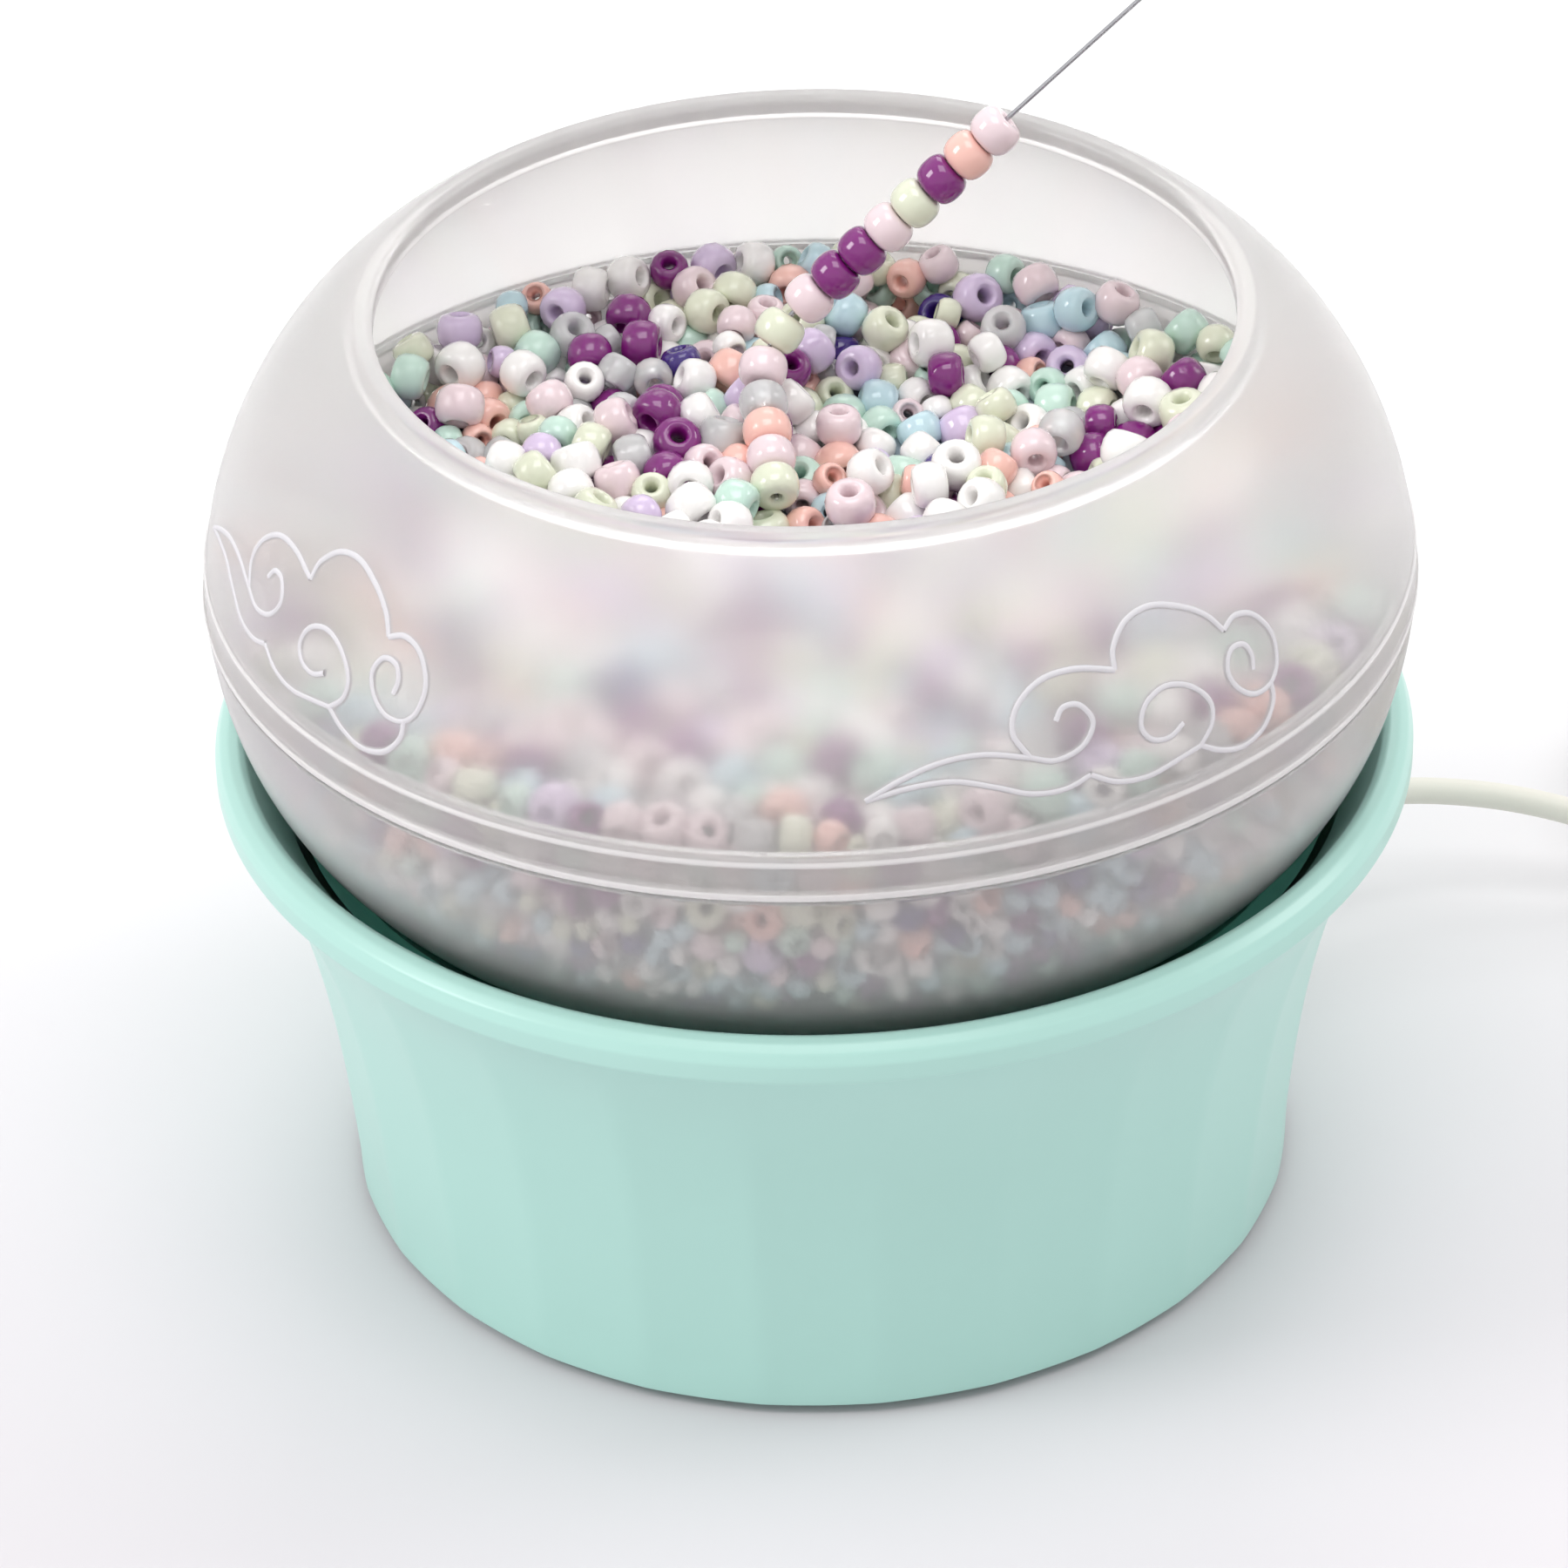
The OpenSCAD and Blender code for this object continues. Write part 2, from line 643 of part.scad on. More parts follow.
module drive_gear() {
    tooth_angle = 360 / gear_teeth;
    color("#efece4") translate([0, 0, gear_z]) difference() {
        union() {
            rotate([0, 0, motor_dir + tooth_angle / 2]) spur(gear_teeth, gear_t, 0.6, 0.22);
            translate([0, 0, -0.8]) cylinder(h = gear_t + 1.8, r = 5);
        }
        translate([0, 0, -2]) cylinder(h = 10, r = shaft_r + slip);
        for (z = [-1, gear_t - 1.2]) translate([0, 0, z]) difference() {
            cylinder(h = 2.2, r = 20.5);
            translate([0, 0, -1]) cylinder(h = 5, r = 6.5);
        }
    }
}

module dog(grow, h) {
    for (a = [0, 90]) rotate([0, 0, a])
        translate([-dog_l / 2 - grow, -dog_w / 2 - grow, 0]) cube([dog_l + 2 * grow, dog_w + 2 * grow, h]);
}

module drive_hub() {
    color("#e9e7e2") difference() {
        union() {
            translate([0, 0, hub_z]) cylinder(h = hub_top - hub_z, r = hub_r);
            translate([0, 0, well_floor_z + 1.4]) cylinder(h = 1, r = 4.6);
            translate([0, 0, hub_top - 0.5]) dog(0, dog_top - hub_top + 0.5);
        }
        translate([0, 0, well_floor_z]) cylinder(h = 4.5, r = shaft_r + slip);
        translate([0, 0, hub_screw_z]) rotate([0, 90, 0]) cylinder(h = 20, r = 0.9 + slip);
    }
}

module retaining_clip() {
    color("#8e9296") difference() {
        translate([0, 0, groove_z + 0.1]) cylinder(h = groove_h - 0.2, r = 3.8);
        translate([0, 0, groove_z - 1]) cylinder(h = 3, r = shaft_r - groove_depth + slip);
        translate([0, -1.1, groove_z - 1]) cube([6, 2.2, 3]);
    }
}

module hub_screw() {
    color("#55585c") translate([shaft_r + 0.15, 0, hub_screw_z]) rotate([0, 90, 0]) difference() {
        cylinder(h = 6, r = 0.9);
        translate([0, 0, 4.8]) cylinder(h = 2, r = 0.5, $fn = 6);
    }
}

module lower_bowl() {
    color([0.86, 0.84, 0.83, 0.6]) difference() {
        union() {
            rotate_extrude() polygon(concat(
                [[recess_r, bowl_flat_z]],
                cup(bowl_flat_z, seam_z - 0.4, bowl_r, bowl_depth, 14),
                [[neck_r, seam_z - 0.3], [neck_r, neck_top_z], [neck_r - neck_t, neck_top_z],
                 [neck_r - neck_t, neck_low_z]],
                flip(cup(bowl_floor_z, shoulder_z, bowl_in_r, bowl_in_depth, 12)),
                [[recess_r + bowl_t, bowl_floor_z], [recess_r + bowl_t, recess_z + bowl_t],
                 [0, recess_z + bowl_t], [0, recess_z], [recess_r, recess_z]]
            ));
            translate([0, 0, recess_z]) cylinder(h = socket_top + bowl_t - recess_z, r = socket_r);
        }
        translate([0, 0, recess_z - 1]) dog(body_gap, socket_top - recess_z + 1);
    }
}

module bead_load() {
    gap = 0.2;
    cap_top = recess_z + bowl_t + gap;
    boss_top = socket_top + bowl_t + gap;
    side = recess_r + bowl_t + gap;
    wall = [for (p = cup(bowl_floor_z + gap, shoulder_z - 0.4, bowl_in_r, bowl_in_depth, 10))
        [p[0] - gap, p[1] + gap]];
    color("#d9cfd6") rotate_extrude() polygon(concat(
        [[0, boss_top], [socket_r + gap, boss_top], [socket_r + gap, cap_top], [side, cap_top],
         [side, bowl_floor_z + gap]],
        wall,
        [for (r = [heap_r:-heap_r / 7:1]) [r, heap_z(r)]],
        [[0, fill_z]]
    ));
}

// Loose beads on top of the load, spread as the seeds of a sunflower
loose_count = 5 * beads_each;
function loose_at(i) =
    let (r = loose_r * sqrt((i + 0.5) / loose_count), a = i * 137.508)
    [r * cos(a), r * sin(a), heap_z(r)];
function near_needle(p) =
    min([for (s = [0:1.5:20]) norm([needle_at(s)[0] - p[0], needle_at(s)[1] - p[1]])]) < bead_d + 0.5;
// Every third bead lies on its side, and all of them stand square on the heap
module loose_bead(i) {
    p = loose_at(i);
    r = norm([p[0], p[1]]);
    lies = i % 3 == 1;
    translate(p) aim([-heap_slope(r) * p[0] / r, -heap_slope(r) * p[1] / r, 1])
        translate([0, 0, (lies ? bead_d : bead_l) / 2 + bead_play])
            rotate([lies ? 90 : 0, 0, 71 * i]) bead(bead_d, bead_l, loose_hole_r);
}
module loose_beads(kind) {
    for (i = [kind:5:loose_count - 1]) if (!near_needle(loose_at(i))) loose_bead(i);
}
module beads_white() color("#f4f2ee") loose_beads(0);
module beads_green() color("#b9dccb") loose_beads(1);
module beads_pink() color("#efb3a6") loose_beads(2);
module beads_purple() color("#7a2a78") loose_beads(3);
module beads_blue() color("#a9d5e4") loose_beads(4);

module upper_cover() {
    steps = 18;
    function angle(i, last) = dome_first + (last - dome_first) * i / steps;
    color([0.88, 0.86, 0.86, 0.5]) rotate_extrude() polygon(concat(
        [[skirt_r, seam_z], [skirt_r, belt_low_z - 0.3], [belt_r, belt_low_z], [belt_r, skirt_top_z - 0.2],
         [belt_r - 0.15, skirt_top_z]],
        [for (i = [0:steps]) dome(angle(i, dome_last), 0)],
        [[mouth_r + 0.6, lip_z], [mouth_r, lip_z - 0.5], [mouth_r, lip_low_z + 0.4], [mouth_r + 0.4, lip_low_z],
         [mouth_r + 1.4, lip_low_z]],
        [for (i = [steps:-1:0]) dome(angle(i, dome_in_last), cover_wall)],
        [[neck_r + body_gap, neck_top_z + 0.4], [neck_r + body_gap, seam_z]]
    ));
}

module needle_wire() {
    eye = needle_route[len(needle_route) - 1];
    color("#a9adb2") {
        tube(needle_route, wire_d / 2, 8);
        translate(eye) aim(lean) difference() {
            translate([-0.9, -0.2, -0.3]) cube([1.8, 0.4, eye_l]);
            translate([-0.45, -1, 0.6]) cube([0.9, 2, eye_l - 1.5]);
        }
    }
}

module strung_beads() {
    drop = 0.15;
    bend_play = 0.85;
    color("#dcaeb8") for (k = [0:strung - 1]) {
        s = first_bead_s + (bead_l + 0.1) * k + bend_play * min(max(k - 3, 0), 3);
        dir = needle_at(s + 1) - needle_at(s - 1);
        translate(needle_at(s) - [0, 0, drop]) aim(dir) bead(bead_d, bead_l, bead_hole_r);
    }
}

module cord_run() color("#eeebe4") tube(run_route, lead_d / 2, 8);
module cord_coil() color("#eeebe4") tube(coil_route, lead_d / 2, 6);
module cord_link() color("#eeebe4") tube(link_route, lead_d / 2, 8);
module cord_tail() color("#eeebe4") tube(tail_route, lead_d / 2, 8);

// Paper tie round all the turns of the coil, on the side away from the speed control
module coil_tie() {
    tie_t = 0.35;
    reach = coil_out_r + lead_d / 2 + 0.6;
    inside = coil_in_r - lead_d / 2 - 0.9;
    top = coil_z + coil_step + lead_d / 2 + 0.1;
    color("#d8d4ca") translate([coil_x - 3, coil_y, 0]) difference() {
        translate([0, inside - tie_t, 0.05]) cube([6, reach - inside + 2 * tie_t, top + tie_t]);
        translate([-1, inside, 0.05 + tie_t]) cube([8, reach - inside, top - tie_t - 0.05]);
    }
}

module at_box() translate([box_x, box_y, 0]) rotate([0, 0, 90]) children();

module box_half(z0, z1, floor_z, roof_z) {
    difference() {
        translate([0, 0, z0]) slab(box_l, box_w, z1 - z0, 5);
        translate([0, 0, floor_z])
            slab(box_l - 2 * box_wall, box_w - 2 * box_wall, roof_z - floor_z, 5 - box_wall);
        translate([-box_l, 0, box_split]) rotate([0, 90, 0]) cylinder(h = 2 * box_l, r = 2.02);
    }
}

module box_lower() {
    color("#eeebe4") at_box() difference() {
        union() {
            box_half(box_z, box_split, box_z + 1.4, box_split + 1);
            for (x = [-1, 1]) translate([x * box_screw_x, 5, box_z]) cylinder(h = box_split - box_z, r = 1.9);
        }
        for (x = [-1, 1]) translate([x * box_screw_x, 5, box_z - 1]) {
            cylinder(h = 10, r = 0.95);
            cylinder(h = 2.2, r = 1.8);
        }
    }
}

module box_upper() {
    color("#eeebe4") at_box() difference() {
        union() {
            box_half(box_split, box_h, box_split - 1, box_h - 1.4);
            for (x = [-1, 1]) translate([x * box_screw_x, 5, box_split]) cylinder(h = box_h - box_split, r = 1.9);
        }
        for (x = [-1, 1]) translate([x * box_screw_x, 5, box_split - 1]) cylinder(h = 4.5, r = 0.8 + slip);
        translate([0, 0, 5]) cylinder(h = 10, r = pot_shaft_r + 0.08);
    }
}

module box_screws() {
    color("silver") at_box() for (x = [-1, 1])
        translate([x * box_screw_x, 5, box_z + 1.2]) screw(0.8, 6.5, 1.6, 1);
}

module box_sleeves() {
    color("#e2dfd7") at_box() for (s = [-1, 1])
        translate([s * (box_l / 2 - 2), 0, box_split]) rotate([0, 90 * s, 0])
            cylinder(h = sleeve_l + 2, r = 2);
}

module speed_board() {
    color("#2f7d4f") at_box() difference() {
        translate([-11, -6, 2.2]) cube([22, 12, 1.2]);
        translate([0, 0, 1]) cylinder(h = 5, r = 1);
    }
}

module speed_pot() {
    color("#33363a") at_box() difference() {
        translate([0, 0, 3.4]) cylinder(h = 4.2, r = 4.6);
        translate([0, 0, 4]) cylinder(h = 6, r = pot_shaft_r + 0.08);
    }
}

module pot_shaft() {
    color("#b9bcc0") translate([box_x, box_y, 4.3]) cylinder(h = 9.2, r = pot_shaft_r);
}

module speed_knob() {
    knob_r = 7.5;
    flutes = 18;
    color("#d7f0e8") translate([box_x, box_y, box_h + body_gap]) difference() {
        union() {
            cylinder(h = 3.6, r = knob_r);
            translate([0, 0, 3.6]) cylinder(h = 0.8, r1 = knob_r, r2 = knob_r - 0.8);
        }
        for (i = [0:flutes - 1]) rotate([0, 0, 360 * i / flutes])
            translate([knob_r + 0.35, 0, -1]) cylinder(h = 7, r = 0.8);
        translate([0, 2, 3.9]) cube([1, 4.6, 2]);
        translate([0, 0, -1]) cylinder(h = 3.4, r = pot_shaft_r + slip);
    }
}

module plug_grip() {
    color("#eeebe4") translate([plug_x, plug_y + grip_l / 2, plug_z - grip_h / 2]) difference() {
        rotate([0, 0, 90]) slab(grip_l, grip_w, grip_h, 2.5);
        for (x = [-1, 1], y = [-6:3:3])
            translate([x * (grip_w / 2 + 0.3) - 0.6, y, 1]) cube([1.2, 1.2, grip_h - 2]);
    }
}

module plug_shell() {
    color("#c9ccd0") translate([plug_x, plug_y + grip_l, plug_z]) difference() {
        translate([-tube_w / 2, 0, -tube_h / 2]) cube([tube_w, tube_l, tube_h]);
        translate([-tube_w / 2 + 0.35, 0.6, -tube_h / 2 + 0.35]) cube([tube_w - 0.7, tube_l, tube_h - 0.7]);
        for (x = [-3.6, 1.2], y = [10]) translate([x, y, 0]) cube([2.4, 2.2, 5]);
    }
}

module plug_tongue() {
    color("#f3f1ec") translate([plug_x, plug_y + grip_l + 0.6, plug_z]) {
        translate([-tube_w / 2 + 0.35, 0, -tube_h / 2 + 0.35]) cube([tube_w - 0.7, tube_l - 1.2, 1.7]);
    }
}

base_shell();
bowl_well();
bottom_cover();
rubber_feet();
cover_screws();
gear_plate();
plate_screws();
motor_can();
motor_end_cap();
motor_terminals();
motor_magnets();
motor_screws();
upper_bush();
lower_bush();
thrust_washer();
circuit_board();
board_capacitor();
lead_socket();
board_screws();
lead_red();
lead_black();
inner_lead();
cord_gland();
motor_shaft();
armature();
pinion();
spindle_shaft();
drive_gear();
drive_hub();
retaining_clip();
hub_screw();
lower_bowl();
bead_load();
beads_white();
beads_green();
beads_pink();
beads_purple();
beads_blue();
upper_cover();
needle_wire();
strung_beads();
cord_run();
cord_coil();
coil_tie();
cord_link();
box_sleeves();
box_lower();
box_upper();
box_screws();
speed_board();
speed_pot();
pot_shaft();
speed_knob();
cord_tail();
plug_grip();
plug_shell();
plug_tongue();
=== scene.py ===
import json
import math
import random

import bpy
import numpy as np
from mathutils import Matrix, Vector


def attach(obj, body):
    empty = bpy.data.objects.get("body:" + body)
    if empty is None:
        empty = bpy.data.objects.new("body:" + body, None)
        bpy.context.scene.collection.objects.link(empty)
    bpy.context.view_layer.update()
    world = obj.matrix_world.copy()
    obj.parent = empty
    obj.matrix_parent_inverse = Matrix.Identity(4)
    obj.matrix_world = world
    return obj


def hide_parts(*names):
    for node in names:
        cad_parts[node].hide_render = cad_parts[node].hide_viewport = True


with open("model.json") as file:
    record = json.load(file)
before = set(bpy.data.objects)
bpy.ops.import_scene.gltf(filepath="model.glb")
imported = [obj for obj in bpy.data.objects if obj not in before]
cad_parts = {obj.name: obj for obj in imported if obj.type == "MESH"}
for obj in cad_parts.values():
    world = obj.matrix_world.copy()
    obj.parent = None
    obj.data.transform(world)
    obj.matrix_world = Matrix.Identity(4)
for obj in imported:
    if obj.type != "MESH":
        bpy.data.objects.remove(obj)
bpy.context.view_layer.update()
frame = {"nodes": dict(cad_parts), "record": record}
mm = 0.001


# Camera: a long lens looking down into the mouth of the bowl
cameraSet = {
    "place": (0, -606.05, 441.83),  # mm
    "turn": 0.304,  # degrees about the vertical
    "tilt": 56.739,  # degrees up from looking straight down
    "roll": -1.455,
    "lens": 160,
    "sensor": 36,
}


def makeCamera(s):
    data = bpy.data.cameras.new("camera")
    data.lens = s["lens"]
    data.sensor_width = s["sensor"]
    data.clip_start = 0.01
    camera = bpy.data.objects.new("camera", data)
    turn, tilt, roll = (math.radians(s[k]) for k in ("turn", "tilt", "roll"))
    camera.matrix_world = (
        Matrix.Translation(Vector(s["place"]) * mm)
        @ Matrix.Rotation(turn, 4, "Z")
        @ Matrix.Rotation(tilt, 4, "X")
        @ Matrix.Rotation(roll, 4, "Z")
    )
    bpy.context.collection.objects.link(camera)
    bpy.context.scene.camera = camera


makeCamera(cameraSet)
bpy.context.scene.view_settings.view_transform = "Standard"
print("camera set")


# Shader wiring: a socket that takes part in Python sums
class Wire:
    def __init__(self, finish, socket):
        self.finish = finish
        self.socket = socket

    def __add__(self, other):
        return self.finish.maths("ADD", self, other)

    def __radd__(self, other):
        return self.finish.maths("ADD", other, self)

    def __sub__(self, other):
        return self.finish.maths("SUBTRACT", self, other)

    def __rsub__(self, other):
        return self.finish.maths("SUBTRACT", other, self)

    def __mul__(self, other):
        return self.finish.maths("MULTIPLY", self, other)

    def __rmul__(self, other):
        return self.finish.maths("MULTIPLY", other, self)


class Finish:
    def __init__(self, name):
        self.material = bpy.data.materials.new(name)
        self.material.use_nodes = True
        self.tree = self.material.node_tree
        self.tree.nodes.clear()
        self.out = self.tree.nodes.new("ShaderNodeOutputMaterial")
        self.place = self.node("ShaderNodeTexCoord", {}, {}, "Object")
        self.over = None

    def node(self, kind, settings, sockets, out=0):
        made = self.tree.nodes.new(kind)
        for key, value in settings.items():
            setattr(made, key, value)
        for key, value in sockets.items():
            if isinstance(value, Wire):
                self.tree.links.new(value.socket, made.inputs[key])
            else:
                made.inputs[key].default_value = value
        return Wire(self, made.outputs[out])

    def maths(self, operation, *values):
        return self.node("ShaderNodeMath", {"operation": operation}, dict(enumerate(values)))

    def mix(self, share, a, b):
        return self.node("ShaderNodeMix", {"data_type": "RGBA"}, {0: share, 6: a, 7: b}, 2)

    def noise(self, size, detail=2.0):  # size of the patches in mm
        scale = 1 / (size * mm)
        sockets = {"Vector": self.place, "Scale": scale, "Detail": detail}
        return self.node("ShaderNodeTexNoise", {}, sockets)

    def bump(self, height, depth):  # depth in mm
        sockets = {"Height": height, "Distance": depth * mm, "Strength": 1.0}
        return self.node("ShaderNodeBump", {}, sockets)

    def axis(self, name):
        return self.node("ShaderNodeSeparateXYZ", {}, {"Vector": self.place}, name)

    def ramp(self, value, low, high):  # 0 at low, 1 at high
        return self.node("ShaderNodeMapRange", {}, {"Value": value, "From Min": low, "From Max": high})

    def paintHighlight(self, share, colour):  # painted highlight: a share of the surface in a plain pale opaque colour, standing for light caught there
        pale = self.node("ShaderNodeBsdfPrincipled", {}, {"Base Color": colour, "Roughness": 0.25})
        self.over = (share, pale)

    def surface(self, sockets):
        skin = self.node("ShaderNodeBsdfPrincipled", {}, sockets)
        # a finish's painted highlight is mixed over its skin here
        if self.over:
            share, pale = self.over
            skin = self.node("ShaderNodeMixShader", {}, {0: share, 1: skin, 2: pale})
        self.tree.links.new(skin.socket, self.out.inputs["Surface"])
        return self.material


def ink(red, green, blue):  # a screen colour as linear light
    return tuple(v / 12.92 if v <= 0.04045 else ((v + 0.055) / 1.055) ** 2.4
                 for v in (red / 255, green / 255, blue / 255)) + (1.0,)


def shade(colour, factor):
    return tuple(min(1.0, v * factor) for v in colour[:3]) + (1.0,)


# Moulded plastic: a touch of mottle in the colour and a fine spark-eroded grain
def moulded(name, colour, rough=0.4, mottle=0.03, grain=0.3, depth=0.006, coat=0.0, uneven=0.16,
            sockets=None):
    f = Finish(name)
    patches = f.noise(14)
    pores = f.noise(grain)
    return f.surface({
        "Base Color": f.mix(patches, shade(colour, 1 - mottle), shade(colour, 1 + mottle)),
        "Roughness": rough + (pores - 0.5) * uneven + (patches - 0.5) * 0.08,
        "Normal": f.bump(pores, depth),
        "Coat Weight": coat,
        **(sockets or {}),
    })


def metal(name, colour, rough=0.3, grain=0.4, depth=0.004):
    f = Finish(name)
    scratch = f.noise(grain, 4.0)
    patches = f.noise(6)
    return f.surface({
        "Base Color": f.mix(patches, shade(colour, 0.9), shade(colour, 1.05)),
        "Metallic": 1.0,
        "Roughness": rough + (scratch - 0.5) * 0.25,
        "Normal": f.bump(scratch, depth),
    })


# Frosted plastic: it veils what is behind it, the more so the further that is from the wall
frostSet = {
    "colour": ink(253, 251, 250),
    "through": 0.82,
    "rough": 0.3,
    "grain": 0.35,
    "depth": 0.004,
    "highlightBands": [(71.7, 0.4), (75.25, 0.25)],  # painted highlights on the cover's edges: height and half width in mm
    # share and colour of the painted highlight
    "highlightShare": 0.5,
    "highlightColour": ink(250, 248, 248),
}


def frosted(name, s, highlightBands=()):
    f = Finish(name)
    pores = f.noise(s["grain"])
    patches = f.noise(25)
    if highlightBands:
        height = f.axis("Z")
        # painted highlight: the bands at these heights take a share of a plain pale colour
        highlightMask = sum(f.maths("COMPARE", height, z * mm, half * mm) for z, half in highlightBands)
        f.paintHighlight(highlightMask * s["highlightShare"], s["highlightColour"])
    return f.surface({
        "Base Color": f.mix(patches, shade(s["colour"], 0.985), shade(s["colour"], 1.01)),
        "Roughness": s["rough"] + (pores - 0.5) * 0.05,
        "Transmission Weight": s["through"],
        "IOR": 1.4,
        "Normal": f.bump(pores, s["depth"]),
    })


def glassy(name, colour, through, rough=0.06, coat=0.6):
    f = Finish(name)
    swirl = f.noise(1.6, 3.0)
    patches = f.noise(7)
    return f.surface({
        "Base Color": f.mix(patches, shade(colour, 0.93), shade(colour, 1.08)),
        "Roughness": rough + (swirl - 0.5) * 0.05,
        "Transmission Weight": through,
        "IOR": 1.45,
        "Coat Weight": coat,
        "Coat Roughness": 0.05,
        "Normal": f.bump(swirl, 0.02),
    })


finishes = {
    "shell_plastic": moulded("mintShell", ink(183, 227, 217), 0.3, 0.015, 2, 0.002, uneven=0.03),
    # the well's mint plastic, darkened and deepened to teal as painted shade
    "well_plastic": moulded("mintWellInPaintedShade", ink(100, 184, 164), 0.42),
    "frosted_plastic": frosted("frostedBowl", frostSet),
    "foot_rubber": moulded("footRubber", ink(72, 80, 78), 0.75, 0.06, 0.2, 0.02),
    "screw_steel": metal("screwZinc", ink(196, 198, 200), 0.32),
    "motor_steel": metal("motorCan", ink(200, 203, 205), 0.25),
    "shaft_steel": metal("groundSteel", ink(190, 192, 196), 0.22),
    "needle_steel": metal("needleSteel", ink(176, 176, 180), 0.2, 0.2, 0.001),
    "plug_steel": metal("plugNickel", ink(214, 216, 218), 0.2),
    "terminal_brass": metal("tinnedBrass", ink(216, 190, 120), 0.3),
    "bush_bronze": metal("sinteredBronze", ink(176, 122, 66), 0.45, 0.15, 0.02),
    "winding_copper": metal("windingCopper", ink(184, 108, 58), 0.35),
    "magnet": moulded("darkFerrite", ink(52, 52, 55), 0.5, 0.08, 0.2, 0.015),
    "gear_plastic": moulded("acetalWhite", ink(236, 234, 226), 0.35),
    "board": moulded("boardGreen", ink(40, 112, 66), 0.35, 0.06),
    "capacitor_sleeve": moulded("capacitorBlue", ink(54, 70, 120), 0.3),
    "wire_red": moulded("wireRed", ink(190, 52, 44), 0.3),
    "wire_black": moulded("wireBlack", ink(34, 34, 36), 0.3),
    "lead_white": moulded("leadSheath", ink(228, 224, 214), 0.45, 0.03, 0.4, 0.01),
    "tie_paper": moulded("tiePaper", ink(212, 206, 190), 0.8, 0.06, 0.3, 0.02),
    "box_plastic": moulded("boxPlastic", ink(234, 231, 222), 0.4, 0.02, 0.3, 0.008),
    "bead_mix": glassy("beadMix", ink(222, 214, 222), 0.1),
    "bead_white": moulded("beadWhite", ink(249, 247, 245), 0.16, 0.03, 0.8, 0.01, 0.6),
    "bead_green": moulded("beadPearl", ink(228, 232, 208), 0.2, 0.08, 0.9, 0.02, 0.8),
    "bead_pink": moulded("beadSalmon", ink(248, 196, 184), 0.16, 0.05, 0.8, 0.01, 0.6),
    "bead_purple": glassy("beadPurple", ink(132, 30, 124), 0.08),
    "bead_blue": glassy("beadSky", ink(206, 236, 245), 0.12),
}
beadFinishes = {
    "White": finishes["bead_white"],
    "Pearl": finishes["bead_green"],
    "Salmon": finishes["bead_pink"],
    "Purple": finishes["bead_purple"],
    "Sky": finishes["bead_blue"],
    "Mint": moulded("beadMint", ink(200, 230, 216), 0.18, 0.05, 0.8, 0.01, 0.6),
    "Blush": glassy("beadBlush", ink(253, 228, 233), 0.12),
    "Lilac": glassy("beadLilac", ink(228, 208, 240), 0.1),
    "Indigo": glassy("beadIndigo", ink(62, 36, 126), 0.05),
    "Clear": glassy("beadClear", ink(248, 249, 250), 0.5, 0.03, 0.2),
    "Lime": glassy("beadLime", ink(168, 190, 60), 0.2),
}
# the cover's finish, with painted highlights along its edges
coverFinish = frosted("frostedCover", frostSet, frostSet["highlightBands"])
print("finishes made:", len(finishes) + len(beadFinishes) + 1)


# Carried-over CAD pieces take the finish of their slot
def dressNodes():
    slots = {s["node"]: s["material_slot"] for s in frame["record"]["subparts"]}
    for name, piece in frame["nodes"].items():
        piece.data.materials.clear()
        piece.data.materials.append(finishes[slots[name]])


dressNodes()


def addPiece(name, vertices, faces, finish, body):
    mesh = bpy.data.meshes.new(name)
    mesh.from_pydata([tuple(v) for v in vertices], [], faces)
    mesh.validate()
    mesh.materials.append(finish)
    mesh.shade_smooth()
    piece = bpy.data.objects.new(name, mesh)
    bpy.context.collection.objects.link(piece)
    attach(piece, body)
    return piece


# Cords: the lead from the base to the speed control by way of its coil, then on to the plug
leadSet = {
    "width": 3.0,  # mm, as are the places below
    "run": [
        (50.8, 35.6, 14), (55.7, 39, 14), (60.6, 41.7, 13.7), (66, 43.2, 13.2),
        (71.8, 43.6, 12.6), (77.6, 43.2, 11.9), (83.4, 42.2, 10.9), (88.8, 41, 9.5),
        (94, 40, 7.8), (99, 39.4, 5.8), (103.6, 39.1, 4), (108, 39, 2.6),
        (112, 39, 2), (115, 39, 1.9),
    ],
    "link": [
        (118, 39, 5.5), (121, 39, 5.5), (126, 38.8, 5), (131, 37.4, 4.4), (135.4, 34.4, 4.1),
        (138.4, 30, 4.4), (139.8, 25, 5), (140, 22, 5.5), (140, 19, 5.5),
    ],
    "tail": [
        (140, -33, 5.5), (140, -36, 5.5), (139.2, -40.6, 4.8), (136.6, -44.8, 3.6),
        (132.2, -47.4, 2.4), (127, -47.9, 1.8), (122, -46.2, 1.7), (118.4, -42.6, 2),
        (116.4, -38, 2.9), (116, -33.6, 3.9), (116, -30, 4.1), (116, -27, 4.1),
    ],
    "coil": {
        "middle": (115, 62), "low": 1.9, "outer": 23, "step": 3.6, "turns": 7,
        "rings": 24,  # points to a turn
        "drawIn": 0.5,  # the turn that climbs to the upper layer is drawn in by this much
    },
    "sides": 6,
}


def coilRoute(c):
    inTurns = (c["turns"] - 0.5) / 2
    inner = c["outer"] - c["step"] * inTurns
    route = []
    for i in range(1, c["turns"] * c["rings"] + 1):
        turns = i / c["rings"]
        climb = min(1, max(0, (turns - inTurns) / 0.5))
        radius = c["outer"] - c["step"] * turns
        if turns > inTurns:
            spread = c["step"] * max(0, turns - inTurns - 0.5)
            radius = inner - c["drawIn"] * math.sin(math.pi * climb) + spread
        angle = 2 * math.pi * turns
        route.append((
            c["middle"][0] + radius * math.sin(angle),
            c["middle"][1] - radius * math.cos(angle),
            c["low"] + c["step"] * climb,
        ))
    return route


def routeLength(route):
    return sum((Vector(b) - Vector(a)).length for a, b in zip(route, route[1:]))


